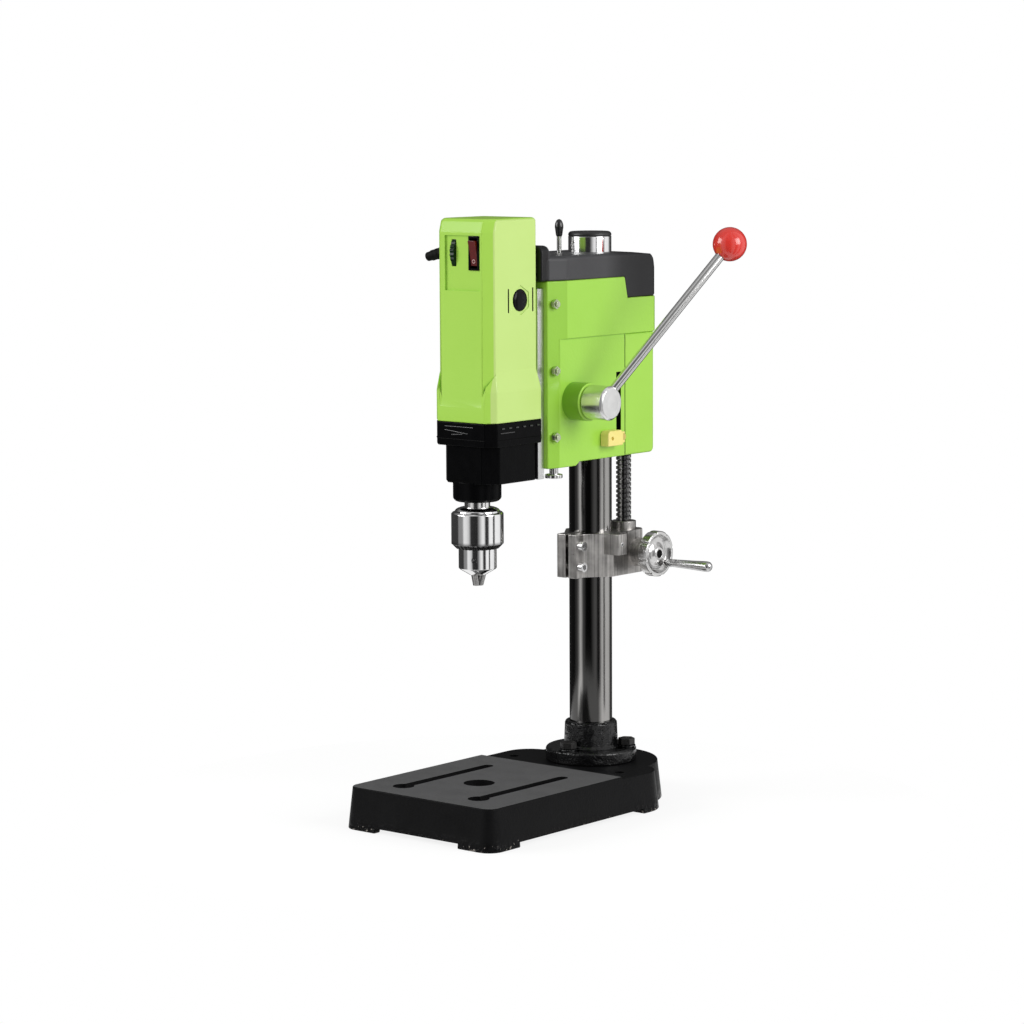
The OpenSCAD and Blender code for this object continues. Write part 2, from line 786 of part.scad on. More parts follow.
module wheel_bevel() {
  color("#7d7f83") translate([screw_x, screw_y, wheel_z]) rotate([0, 90, 0])
    mitre_gear(wheel_shaft_d - 2, 180 / bevel_teeth);
}

module wheel_shaft() {
  color("#9a9ca0") {
    rod_x(wheel_shaft_d, screw_x + bevel_out + bevel_hub, wheel_x + wheel_rim_w, screw_y, wheel_z);
    rod_x(wheel_shaft_d - 2, screw_x + bevel_in + bevel_ded, screw_x + bevel_out + bevel_hub,
      screw_y, wheel_z);
  }
}

module handwheel() {
  inner = wheel_r - wheel_rim;
  color("#c6c8cb") difference() {
    translate([wheel_x, screw_y, wheel_z]) rotate([0, 90, 0]) union() {
      rotate_extrude() polygon([
        [wheel_shaft_d / 2, 0], [wheel_r - 2, 0], [wheel_r, 2],
        [wheel_r, wheel_rim_w - 2], [wheel_r - 2, wheel_rim_w], [inner + 1, wheel_rim_w],
          [inner, wheel_rim_w - 1],
        [inner - 1, wheel_web], [wheel_hub_d / 2 + 2, wheel_web], [wheel_hub_d / 2, wheel_web + 2],
        [wheel_hub_d / 2, wheel_rim_w], [wheel_shaft_d / 2, wheel_rim_w]
      ]);
      translate([grip_r * sin(grip_angle), grip_r * cos(grip_angle), 0]) cylinder(d = grip_d,
        h = wheel_rim_w);
    }
    rod_x(grip_pin_d, wheel_x - cut, wheel_x + wheel_rim_w + cut, grip_y, grip_z);
  }
}

module grip_pin() {
  color("#a5a7aa") rod_x(grip_pin_d, wheel_x, grip_x + grip_l - grip_d, grip_y, grip_z);
}

module wheel_grip() {
  end_r = grip_d / 2;
  neck_r = grip_pin_d / 2 + 1.6;
  bore = grip_pin_d / 2 + run_fit;
  color("#b4b6b9") translate([grip_x, grip_y, grip_z]) rotate([0, 90, 0]) rotate_extrude()
    polygon(concat(
    [[bore, 0], [neck_r, 0], [neck_r + 0.6, 1]],
    [[end_r - 0.6, grip_l - end_r * 1.6]],
    arc([0, grip_l - end_r], end_r, 0, 90, 8),
    [[0, grip_l - grip_d + gap], [bore, grip_l - grip_d + gap]]
  ));
}

// Plan of the head's upper band and cap, drawn in by an inset
function band_plan(front, back, inset) = [
  [-corner_half_w + inset, -front], [corner_half_w - inset, -front],
  [band_half_w - inset, -head_front + band_ramp], [band_half_w - inset, back - 8],
    [band_half_w - inset - 5, back],
  [-band_half_w + inset + 5, back], [-band_half_w + inset, back - 8], [-band_half_w + inset,
    -head_front + band_ramp]
];

// Plan of the dovetail tongue, widened by a gap on its left and on its right
function dove_plan(left, right, front, rear) = [
  [-dove_neck - left + (front - head_front) * dove_slope, -front],
  [-dove_neck - left - (head_front - rear) * dove_slope, -rear],
  [dove_neck + right + (head_front - rear) * dove_slope, -rear],
  [dove_neck + right - (front - head_front) * dove_slope, -front]
];

module head_casting() {
  front_z = head_z - head_drop;
  ramp = 6;
  rim = 4;
  color("#8fd63f") difference() {
    union() {
      intersection() {
        translate([-head_half_w, 0, 0]) rotate([90, 0, 90]) linear_extrude(2 * head_half_w)
          polygon([
          [-head_front, front_z], [-head_step_y - ramp, front_z], [-head_step_y, head_z],
            [cover_y, head_z],
          [cover_y, band_z], [-head_front, band_z]
        ]);
        translate([0, 0, front_z]) linear_extrude(band_z - front_z) polygon([
          [-corner_half_w, -head_front], [corner_half_w, -head_front],
          [head_half_w, -head_front + corner_ramp], [head_half_w, cover_y],
          [-head_half_w, cover_y], [-head_half_w, -head_front + corner_ramp]
        ]);
      }
      translate([0, 0, band_z]) linear_extrude(lobe_z - band_z) polygon(band_plan(head_front,
        head_back, 0));
      intersection() {
        translate([0, 0, lobe_z]) linear_extrude(head_top - lobe_z) polygon(band_plan(head_front,
          head_back, 0));
        translate([-band_half_w, 0, 0]) rotate([90, 0, 90]) linear_extrude(2 * band_half_w) polygon([
          [-head_front, lobe_z], [lobe_y + lobe_slope, lobe_z], [lobe_y, head_top],
          [-head_front, head_top]
        ]);
      }
      rod_z(2 * head_sleeve_r, head_z, band_z + cut, 0, 0);
      rod_x(feed_boss_d, head_half_w - cut, feed_boss_x, -feed_y, feed_z);
    }
    rod_z(2 * bore_r, front_z - cut, head_top + cut, 0, 0);
    translate([0, 0, front_z - cut]) linear_extrude(head_top - front_z + 2 * cut)
      polygon(dove_plan(gib_gap_x, gib_gap_x + gib_x, head_front + cut, dove_rear - gap));
    block([-feed_face / 2 - gap, feed_face / 2 + gap], [-dove_rear, -rack_y + feed_module + gap],
      [front_z - cut, rack_high + rack_pitch]);
    rod_x(2 * (feed_r + feed_module * tooth_add + gap), -feed_face / 2 - gap, feed_face / 2 + gap,
      -feed_y, feed_z);
    rod_x(feed_d + 2 * run_fit, -head_half_w - cut, feed_boss_x + cut, -feed_y, feed_z);
    for (z = gib_screw_z) rod_x(gib_screw_d, dove_neck, band_half_w + cut, -gib_screw_y, z);
    block([head_half_w - stop_slot_depth, head_half_w + cut],
      [-stop_y - stop_slot_w / 2, -stop_y + stop_slot_w / 2], [stop_slot_z,
        stop_slot_z + stop_slot_l]);
    rod_z(screw_d + 4, band_z - cut, lobe_z - rim, screw_x, screw_y);
    rod_z(lock_rod_d, head_top - lock_depth, head_top + cut, lock_x, lock_y);
    rod_z(stud_d, front_z - cut, front_z + stud_l, stud_x, -stud_y);
    block([-head_half_w + core_wall, head_half_w - core_wall], core_y, [core_low, head_top + cut]);
  }
}

module rear_cover() {
  floor_t = cover_wall + 2;
  edge = 6;
  low = 8;
  color("#94d944") difference() {
    intersection() {
      translate([0, 0, head_z]) linear_extrude(band_z - head_z) polygon([
        [-head_half_w, cover_y], [head_half_w, cover_y], [head_half_w, head_back - edge],
          [head_half_w - edge, head_back],
        [-head_half_w + edge, head_back], [-head_half_w, head_back - edge]
      ]);
      translate([-head_half_w, 0, 0]) rotate([90, 0, 90]) linear_extrude(2 * head_half_w) polygon([
        [cover_y, head_z], [head_back - low, head_z], [head_back, head_z + low],
          [head_back, band_z], [cover_y, band_z]
      ]);
    }
    block([-head_half_w + cover_wall, head_half_w - cover_wall], [cover_y - cut,
      head_back - cover_wall],
      [head_z + floor_t, band_z + cut]);
    rod_z(2 * head_sleeve_r, head_z - cut, band_z + cut, 0, 0);
    rod_z(screw_d + 4, head_z - cut, band_z, screw_x, screw_y);
  }
}

module lift_nut() {
  low = head_z + cover_wall + 2;
  color("#b58b3c") difference() {
    union() {
      rod_z(nut_flange_d, low, low + nut_flange_t, screw_x, screw_y - 3);
      rod_z(nut_hub_d, low, low + nut_h, screw_x, screw_y);
    }
    rod_z(screw_d + 2 * run_fit, low - cut, low + nut_h + cut, screw_x, screw_y);
    rod_z(2 * head_sleeve_r, low - cut, low + nut_h + cut, 0, 0);
  }
}

module top_cap() {
  edge = 3;
  color("#2b2b2e") difference() {
    union() {
      intersection() {
        union() {
          translate([0, 0, head_top]) linear_extrude(cap_t - edge) polygon(band_plan(head_front,
            head_back, 0.5));
          hull() for (k = [0, 1]) translate([0, 0, cap_z - edge * (1 - k)])
            linear_extrude(0.01) polygon(band_plan(head_front - edge * k, head_back - edge * k,
              0.5 + edge * k));
          translate([0, 0, lobe_z]) linear_extrude(cap_lobe) polygon(band_plan(head_front,
            head_back, 0.5));
        }
        translate([-band_half_w, 0, 0]) rotate([90, 0, 90]) linear_extrude(2 * band_half_w)
          polygon([
          [-head_front, head_top], [lobe_y, head_top], [lobe_y + lobe_slope, lobe_z],
            [head_back, lobe_z],
          [head_back, cap_z - cap_fall - cap_chamfer], [head_back - cap_chamfer * 0.75,
            cap_z - cap_fall],
          [cap_level_y, cap_z + 1], [-head_front, cap_z + 1]
        ]);
      }
      translate([0, -hood_y[1], 0]) rotate([90, 0, 0]) linear_extrude(hood_y[0] - hood_y[1])
        polygon(concat(
        [[-hood_half_w, head_top], [hood_half_w, head_top]],
        arc([hood_half_w - hood_round, head_top + hood_h - hood_round], hood_round, 0, 90, 8),
        arc([-hood_half_w + hood_round, head_top + hood_h - hood_round], hood_round, 90, 180, 8)
      ));
    }
    rod_z(column_d + 2 * gap, lobe_z - cut, cap_z + cut, 0, 0);
    rod_z(lock_rod_d + 2 * run_fit, head_top - cut, cap_z + cut, lock_x, lock_y);
  }
}

module gib_strip() {
  left = dove_neck + gib_gap_x;
  color("#c9cbcd") translate([0, 0, head_z - head_drop])
    linear_extrude(gib_top - head_z + head_drop) polygon([
    [left, -head_front], [left + gib_x, -head_front],
    [left + gib_x + dove_depth * dove_slope, -dove_rear], [left + dove_depth * dove_slope,
      -dove_rear]
  ]);
}

module gib_screws() {
  tip = dove_neck + gib_gap_x + gib_x + dove_depth / 2 * dove_slope + gib_screw_d / 2 * dove_slope;
  nut_w = 3.5;
  face = corner_half_w + (corner_fall + band_proud) * (head_front - gib_screw_y) / band_ramp;
  color("#aeb0b3") for (z = gib_screw_z) {
    rod_x(gib_screw_d, tip, face + 2 * nut_w, -gib_screw_y, z);
    hex_x(gib_screw_d * 1.7, face + 1.5, face + 1.5 + nut_w, -gib_screw_y, z);
  }
}

module stop_stud() {
  top = head_z - head_drop;
  color("#c2c4c6") {
    rod_z(stud_d, top - stud_l, top + stud_l, stud_x, -stud_y);
    rod_z(stud_flange_d, top - stud_l - stud_flange_t, top - stud_l, stud_x, -stud_y);
  }
}

module spring_cup() {
  color("#242427") difference() {
    rod_x(spring_cup_d, cup_x, -head_half_w, -feed_y, feed_z);
    rod_x(spring_cup_d - 2 * cup_wall, cup_x + cup_wall, -head_half_w + cut, -feed_y, feed_z);
  }
}

module return_spring() {
  turns = 5;
  steps = 18;
  strip = 0.8;
  inner = feed_d / 2 + 1.2;
  outer = spring_cup_d / 2 - cup_wall - strip;
  function turn_r(i) = inner + (outer - inner) * i / (turns * steps);
  function side(add) =
    [for (i = [0 : turns * steps]) (turn_r(i) + add) * [cos(i * 360 / steps),
      sin(i * 360 / steps)]];
  back = side(strip);
  color("#6f7175") translate([cup_x + cup_wall + 1, -feed_y, feed_z]) rotate([0, 90, 0])
    linear_extrude(spring_cup_w - cup_wall - 2)
      polygon(concat(side(0), [for (i = [len(back) - 1 : -1 : 0]) back[i]]));
}

module lock_rod() {
  color("#8a8c90") rod_z(lock_rod_d, head_top - lock_depth + gap, cap_z + lock_rod_h, lock_x,
    lock_y);
}

module lock_knob() {
  low = cap_z + lock_rod_h;
  r = lock_knob_d / 2;
  color("#161618") translate([lock_x, lock_y, low]) rotate_extrude() polygon(concat(
    [[0, 0], [r - 1.2, 0], [r - 0.4, lock_knob_l * 0.25]],
    [for (i = [0 : 8]) [r * cos(90 * i / 8), lock_knob_l * (0.5 + 0.5 * sin(90 * i / 8))]]
  ));
}

module feed_shaft() {
  color("#a7a9ac") rod_x(feed_d, cup_x + cup_wall + gap, hub_x + hub_l - 4, -feed_y, feed_z);
}

module feed_pinion() {
  color("#8b8d91") translate([-feed_face / 2, -feed_y, feed_z]) rotate([0, 90, 0]) difference() {
    linear_extrude(feed_face) polygon(gear_points(feed_teeth, feed_module, 270));
    translate([0, 0, -cut]) cylinder(d = feed_d, h = feed_face + 2 * cut);
  }
}

module feed_hub() {
  edge = 1.5;
  color("#c9cbcd") difference() {
    translate([hub_x, -feed_y, feed_z]) rotate([0, 90, 0]) rotate_extrude() polygon([
      [0, 0], [hub_d / 2 - edge, 0], [hub_d / 2, edge], [hub_d / 2, hub_l - edge],
        [hub_d / 2 - edge, hub_l], [0, hub_l]
    ]);
    rod_x(feed_d, hub_x - cut, hub_x + hub_l - 4, -feed_y, feed_z);
    lever_way() cylinder(d = lever_d, h = lever_l);
  }
}

// Places a piece along the feed lever, with its start outside the feed shaft
module lever_way() {
  translate([lever_x, -feed_y, feed_z]) rotate([0, 0, atan2(lever_dir[1], lever_dir[0])])
    rotate([0, acos(lever_dir[2]), 0]) translate([0, 0, feed_d / 2 + 3]) children();
}

module lever_rod() {
  color("#bfc1c4") lever_way() cylinder(d = lever_d, h = lever_l - feed_d / 2 - 3 - ball_d / 4);
}

module lever_ball() {
  color("#e23b36") difference() {
    translate(ball_pos) sphere(d = ball_d);
    lever_way() cylinder(d = lever_d, h = lever_l - feed_d / 2 - 3 - ball_d / 4);
  }
}

module stop_block() {
  edge = 3;
  face = head_half_w + slide_gap;
  low = stop_slot_z - 1;
  rear = stop_y + stop_slot_w / 2 + 2;
  dimple_d = 4;
  color("#ecd25b") difference() {
    union() {
      translate([face, -rear, low]) rotate([90, 0, 90]) linear_extrude(stop_t) polygon([
        [-stop_w, 0], [0, 0], [0, stop_h - edge], [-edge, stop_h], [-stop_w + edge, stop_h],
        [-stop_w, stop_h - edge]
      ]);
      block([face, face + stop_arm_t], [-rear - 1, -stop_y + 6], [low + 1, low + stop_h - edge]);
    }
    rod_x(5, face - cut, face + stop_arm_t + cut, -stop_y, low + stop_h / 2);
    rod_x(dimple_d, face + stop_t - 3, face + stop_t + cut, -rear - stop_w + 7, low + stop_h / 2);
  }
}

module stop_screw() {
  z = stop_slot_z - 1 + stop_h / 2;
  foot = stop_slot_w - 2 * gap;
  out = head_half_w + slide_gap + stop_arm_t;
  color("#8f8160") {
    rod_x(5, head_half_w - stop_slot_depth + 3, out, -stop_y, z);
    rod_x(foot, head_half_w - stop_slot_depth + 1, head_half_w - stop_slot_depth + 3, -stop_y, z);
    rod_x(7, out, out + 3, -stop_y, z);
  }
}

module slide() {
  color("#c4c6c8") translate([0, 0, slide_low]) linear_extrude(slide_top - slide_low)
    polygon(concat(
    [[-slide_plate_w, -motor_rear], [-slide_plate_w, -head_front - gap],
      [-dove_neck + gap * dove_slope, -head_front - gap]],
    [[-dove_wide, -dove_rear], [dove_wide, -dove_rear]],
    [[dove_neck - gap * dove_slope, -head_front - gap], [slide_plate_w, -head_front - gap],
      [slide_plate_w, -motor_rear]]
  ));
}

module rack() {
  root = rack_y + tooth_ded * feed_module;
  tip = rack_y - tooth_add * feed_module;
  function flank(depth) = rack_pitch / 4 - tooth_play / 2 - depth * tan(tooth_angle);
  color("#8b8d91") translate([-feed_face / 2, 0, 0]) rotate([90, 0, 90]) linear_extrude(feed_face)
    polygon(concat(
    [[-dove_rear, rack_high], [-dove_rear, rack_low], [-root, rack_low]],
    [for (i = [0 : rack_count - 1])
      let (z = feed_z + (i + 0.5) * rack_pitch)
      if (z + rack_pitch / 2 < rack_high) each [
      [-root, z - flank(-tooth_ded * feed_module)], [-tip, z - flank(tooth_add * feed_module)],
      [-tip, z + flank(tooth_add * feed_module)], [-root, z + flank(-tooth_ded * feed_module)]
    ]],
    [[-root, rack_high]]
  ));
}

// Plan of the motor unit with chamfered front corners and a small rear chamfer
function motor_plan(half_w, front, rear, chamfer) = [
  [-half_w + chamfer, -front], [half_w - chamfer, -front], [half_w, -front + chamfer],
  [half_w, -rear - 3], [half_w - 3, -rear], [-half_w + 3, -rear], [-half_w, -rear - 3],
    [-half_w, -front + chamfer]
];

// The dip in the skirt's front: its floor slopes out and its ends rise across the corners
module skirt_dip() {
  low = motor_half_w - motor_chamfer;
  high = motor_half_w + 2;
  function face(floor_z) = [[-low, floor_z], [low, floor_z], [high, flare_top + 1], [-high,
    flare_top + 1]];
  past = 1 + 1 / (skirt_front - motor_front);
  translate([0, motor_chamfer - motor_front, 0]) rotate([90, 0, 0])
    linear_extrude(motor_chamfer + 0.02) polygon(face(dip_z));
  hull() {
    translate([0, -motor_front, 0]) rotate([90, 0, 0]) linear_extrude(0.01) polygon(face(dip_z));
    translate([0, -skirt_front - 1, 0]) rotate([90, 0, 0]) linear_extrude(0.01)
      polygon(face(dip_z - dip_slope * past));
  }
}

module motor_housing() {
  panel_y = motor_front - panel_depth;
  panel_low = panel_z - panel_h / 2;
  lean_front = motor_front - front_lean;
  color("#a5e04f") difference() {
    union() {
      difference() {
        union() {
          translate([0, 0, skirt_z]) linear_extrude(skirt_h)
            polygon(motor_plan(skirt_half_w, skirt_front, skirt_rear, motor_chamfer));
          hull() {
            translate([0, 0, skirt_top]) linear_extrude(0.01)
              polygon(motor_plan(skirt_half_w, skirt_front, skirt_rear, motor_chamfer));
            translate([0, 0, flare_top]) linear_extrude(0.01)
              polygon(motor_plan(motor_half_w, motor_front, motor_rear, motor_chamfer));
          }
        }
        skirt_dip();
      }
      translate([0, 0, skirt_z]) linear_extrude(lean_z - skirt_z)
        polygon(motor_plan(motor_half_w, motor_front, motor_rear, motor_chamfer));
      hull() {
        translate([0, 0, lean_z - 0.01]) linear_extrude(0.01)
          polygon(motor_plan(motor_half_w, motor_front, motor_rear, motor_chamfer));
        translate([0, 0, motor_top - motor_round]) linear_extrude(0.01)
          polygon(motor_plan(motor_half_w, lean_front, motor_rear, motor_chamfer));
        translate([0, 0, motor_top - 0.01]) linear_extrude(0.01)
          polygon(motor_plan(motor_half_w - motor_round, lean_front - motor_round,
            motor_rear + motor_round / 2, motor_chamfer));
      }
    }
    rod_z(2 * field_r, skirt_z - cut, top_bearing_z, 0, -motor_y);
    rod_z(2 * bearing_r, top_bearing_z - cut, top_bearing_z + bearing_t, 0, -motor_y);
    block([-bay_half_w, bay_half_w], [-bay_y[0], -bay_y[1]], bay_z);
    block([panel_x - panel_w / 2, panel_x + panel_w / 2], [-motor_front - cut, -panel_y],
      [panel_low, panel_low + panel_h]);
    rod_x(dial_d + 2 * gap, dial_x - dial_w / 2 - gap, dial_x + dial_w / 2 + gap, -dial_y,
      switch_z);
    rod_x(dial_pin_d + 2 * run_fit, -bay_half_w - 2.5, -bay_half_w + cut, -dial_y, switch_z);
    block([rocker_x - bezel_w / 2 + 1, rocker_x + bezel_w / 2 - 1], [-panel_y - cut,
      -bay_y[0] + cut],
      [switch_z - bezel_h / 2 + 1, switch_z + bezel_h / 2 - 1]);
    block([-slide_plate_w - gap, slide_plate_w + gap], [-motor_rear, -skirt_rear + cut],
      [skirt_z - cut, slide_top]);
    for (s = [-1, 1]) {
      translate([s * (motor_half_w + cut), -motor_y, brush_z]) rotate([0, -s * 90, 0]) {
        cylinder(d = brush_cap_d - 6, h = motor_half_w + cut);
        cylinder(d = brush_cap_d + 2 * gap, h = cut + brush_cap_t / 2);
        cylinder(d = brush_hex_d, h = cut + 1, $fn = 6);
      }
      for (e = [-1, 1]) translate([s * motor_half_w, -motor_y + e * vent_dy, brush_z])
        cube([4, vent_w, vent_l], center = true);
    }
    translate([-motor_half_w - cut, -sleeve_y, sleeve_z]) rotate([0, 90, 0])
      cylinder(d = sleeve_seat_d, h = sleeve_seat + cut);
  }
}

module field_coil() {
  color("#8a5a32") difference() {
    union() {
      rod_z(2 * field_r, core_z, core_z + core_h, 0, -motor_y);
      rod_z(2 * field_r - 3, core_z - coil_over, core_z + core_h + coil_over, 0, -motor_y);
    }
    rod_z(2 * (core_r + air_gap), core_z - coil_over - cut, core_z + core_h + coil_over + cut, 0,
      -motor_y);
  }
}

module carbon_brushes() {
  color("#3a3a3c") for (s = [-1, 1])
    translate([s * (commutator_r + gap + brush_l / 2), -motor_y, brush_z])
      cube([brush_l, brush_w, brush_w], center = true);
}

module brush_caps() {
  seat = motor_half_w - brush_cap_t / 2;
  color("#141416") for (s = [-1, 1]) translate([s * seat, -motor_y, brush_z])
    rotate([0, s * 90, 0]) difference() {
    union() {
      rotate_extrude() polygon([
        [0, 0], [brush_cap_d / 2, 0], [brush_cap_d / 2, brush_cap_t - 1], [brush_cap_d / 2 - 1,
          brush_cap_t], [0, brush_cap_t]
      ]);
      translate([0, 0, commutator_r + gap + brush_l - seat]) cylinder(d = brush_cap_d - 6,
        h = seat - commutator_r - gap - brush_l);
    }
    translate([0, 0, brush_cap_t]) cube([2, brush_cap_d - 6, 2], center = true);
  }
}

module cable_sleeve() {
  ribs = 5;
  r = sleeve_d / 2;
  low = 6;
  step = (sleeve_l - 2 * low) / ribs;
  lift = r * sin(sleeve_droop) + gap;
  color("#19191b") {
    rod_x(sleeve_seat_d, -motor_half_w - low, -motor_half_w + sleeve_seat, -sleeve_y, sleeve_z);
    translate([-motor_half_w - lift, -sleeve_y, sleeve_z]) rotate([0, -90 - sleeve_droop, 0])
      difference() {
      rotate_extrude() polygon(concat(
        [[0, 0], [r, 0], [r, low]],
        [for (i = [0 : ribs - 1]) let (z = low + i * step) each [
          [r - 1, z + 0.4], [r - 1, z + 1.6], [r - 0.2 * i, z + 2], [r - 0.2 * i, z + step]
        ]],
        [[r - 1.4, sleeve_l - low + 0.5], [r - 1.6, sleeve_l], [0, sleeve_l]]
      ));
      translate([0, 0, sleeve_l - 8]) cylinder(d = sleeve_d * 0.55, h = 8 + cut);
    }
  }
}

module switch_bezel() {
  face = motor_front - panel_depth;
  inner_w = bezel_w / 2 - bezel_frame;
  inner_h = bezel_h / 2 - bezel_frame;
  color("#111113") translate([rocker_x, -face, switch_z]) difference() {
    union() {
      block([-bezel_w / 2, bezel_w / 2], [-bezel_t, 0], [-bezel_h / 2, bezel_h / 2]);
      block([1 - bezel_w / 2, bezel_w / 2 - 1], [0, bezel_depth], [1 - bezel_h / 2,
        bezel_h / 2 - 1]);
    }
    block([-inner_w, inner_w], [-bezel_t - cut, bezel_depth - 2], [-inner_h, inner_h]);
    rod_x(rocker_pin_d + 2 * run_fit, -inner_w - 0.7, inner_w + 0.7, face - rocker_y, 0);
  }
}

module rocker() {
  pin = rocker_half_w + gap + 0.5;
  h = rocker_half_h;
  color("#9c1f1c") translate([rocker_x, -rocker_y, switch_z]) {
    rotate([90, 0, 90]) translate([0, 0, -rocker_half_w]) linear_extrude(2 * rocker_half_w)
      polygon([
      [-rocker_out - 2, h], [-4, 0], [-2, -h], [rocker_deep / 2 - 1, -h + 1], [rocker_deep, 0],
        [rocker_deep / 2 - 2, h - 1]
    ]);
    rod_x(rocker_pin_d, -pin, pin, 0, 0);
  }
}

module speed_dial() {
  r = dial_d / 2;
  notches = 30;
  color("#143d12") {
    translate([dial_x - dial_w / 2, -dial_y, switch_z]) rotate([0, 90, 0]) linear_extrude(dial_w)
      polygon(
      [for (i = [0 : 2 * notches - 1]) (r - (i % 2) * 0.8) * [cos(i * 180 / notches),
        sin(i * 180 / notches)]]);
    rod_x(dial_pin_d, -bay_half_w - 2, dial_x, -dial_y, switch_z);
  }
}

module bearing_plate() {
  inset = 4;
  color("#9fa1a4") difference() {
    translate([0, 0, skirt_z - plate_t]) linear_extrude(plate_t) polygon(
      motor_plan(skirt_half_w - inset, skirt_front - inset, skirt_rear + inset,
        motor_chamfer - inset / 2));
    rod_z(2 * low_bearing_r, skirt_z - plate_t + 1, skirt_z + cut, 0, -motor_y);
    rod_z(shaft_d + 2, skirt_z - plate_t - cut, skirt_z, 0, -motor_y);
    rod_z(lay_d + 2 * run_fit, skirt_z - plate_t - cut, skirt_z - 1, lay_x, -lay_y);
  }
}

module gearbox() {
  inset = 4;
  floor_z = gear_lo_z - 2;
  gear_top_r = gear_module * spindle_teeth / 2 + gear_room + 1;
  color("#17171a") difference() {
    union() {
      translate([0, 0, rim_z]) linear_extrude(rim_h)
        polygon(motor_plan(skirt_half_w, skirt_front, skirt_rear, motor_chamfer));
      translate([0, 0, box_z]) linear_extrude(box_h)
        polygon(motor_plan(skirt_half_w - box_step, skirt_front - box_step, skirt_rear + box_step,
          box_chamfer));
      translate([0, -spindle_y, nose_z]) rotate_extrude() polygon([
        [0, 0], [nose_d / 2 - nose_chamfer, 0], [nose_d / 2, nose_chamfer], [nose_d / 2,
          nose_h + 2], [0, nose_h + 2]
      ]);
    }
    translate([0, 0, skirt_z - plate_t]) linear_extrude(plate_t + cut) polygon(
      motor_plan(skirt_half_w - inset, skirt_front - inset, skirt_rear + inset,
        motor_chamfer - inset / 2));
    rod_z(2 * gear_top_r, floor_z, skirt_z, 0, -spindle_y);
    rod_z(2 * gear_top_r, floor_z, skirt_z, lay_x, -lay_y);
    rod_z(gear_module * pinion_teeth + 2 * gear_room + 2, floor_z, skirt_z, 0, -motor_y);
    rod_z(lay_d + 2 * run_fit, floor_z - 5, floor_z + cut, lay_x, -lay_y);
    rod_z(2 * spindle_bearing_r, floor_z - spindle_bearing_t, floor_z + cut, 0, -spindle_y);
    rod_z(spindle_shaft_d + 4, nose_z - cut, floor_z, 0, -spindle_y);
    rod_z(2 * spindle_bearing_r, nose_z + 2, nose_z + 2 + spindle_bearing_t, 0, -spindle_y);
    block([-slide_plate_w - gap, slide_plate_w + gap], [-motor_rear, -skirt_rear + cut],
      [slide_low - gap, skirt_z + cut]);
  }
}

// A shielded ball bearing: outer ring, sunk shield and inner ring as one turned profile
module bearing(outer_r, bore, t, x, y, z) {
  race = (outer_r - bore / 2) / 3.2;
  sunk = 0.6;
  in_r = bore / 2;
  translate([x, y, z]) rotate_extrude() polygon([
    [in_r, 0], [in_r + race, 0], [in_r + race, sunk], [outer_r - race, sunk], [outer_r - race, 0],
      [outer_r, 0],
    [outer_r, t], [outer_r - race, t], [outer_r - race, t - sunk], [in_r + race, t - sunk],
      [in_r + race, t], [in_r, t]
  ]);
}

module motor_bearings() {
  color("#b0b2b5") {
    bearing(bearing_r, shaft_d + 2 * run_fit, bearing_t, 0, -motor_y, top_bearing_z);
    bearing(low_bearing_r, shaft_d + 2 * run_fit, plate_t - 1, 0, -motor_y, skirt_z - plate_t + 1);
  }
}

module spindle_bearings() {
  bore = spindle_shaft_d + 2 * run_fit;
  color("#b0b2b5") {
    bearing(spindle_bearing_r, bore, spindle_bearing_t, 0, -spindle_y,
      gear_lo_z - 2 - spindle_bearing_t);
    bearing(spindle_bearing_r, bore, spindle_bearing_t, 0, -spindle_y, nose_z + 2);
  }
}

module armature_shaft() {
  top = top_bearing_z + bearing_t;
  color("#9b9da0") {
    translate([0, -motor_y, gear_hi_z - 1]) linear_extrude(gear_face + 2)
      polygon(gear_points(pinion_teeth, gear_module, to_lay));
    rod_z(shaft_d, gear_hi_z + gear_face + 1, top - gap, 0, -motor_y);
  }
}

module armature_core() {
  slots = 12;
  color("#6d6f74") difference() {
    rod_z(2 * core_r, core_z, core_z + core_h, 0, -motor_y);
    rod_z(shaft_d, core_z - cut, core_z + core_h + cut, 0, -motor_y);
    translate([0, -motor_y, core_z - cut]) for (i = [0 : slots - 1])
      rotate(i * 360 / slots) translate([core_r - 5, -0.9, 0]) cube([6, 1.8, core_h + 2 * cut]);
  }
}

module commutator() {
  bars = 16;
  low = brush_z - commutator_h / 2;
  color("#b5713a") difference() {
    rod_z(2 * commutator_r, low, low + commutator_h, 0, -motor_y);
    rod_z(shaft_d, low - cut, low + commutator_h + cut, 0, -motor_y);
    translate([0, -motor_y, low - cut]) for (i = [0 : bars - 1])
      rotate((i + 0.5) * 360 / bars) translate([commutator_r - 1.5, -0.3, 0])
        cube([3, 0.6, commutator_h + 2 * cut]);
  }
}

module motor_fan() {
  color("#3c3f45") difference() {
    union() {
      rod_z(2 * fan_r, fan_z, fan_z + 2, 0, -motor_y);
      rod_z(shaft_d + 8, fan_z, fan_z + fan_h, 0, -motor_y);
      for (i = [0 : fan_blades - 1]) translate([0, -motor_y, fan_z]) rotate(i * 360 / fan_blades)
        translate([shaft_d / 2 + 3, -0.7, 0]) cube([fan_r - shaft_d / 2 - 4, 1.4, fan_h]);
    }
    rod_z(shaft_d, fan_z - cut, fan_z + fan_h + cut, 0, -motor_y);
  }
}

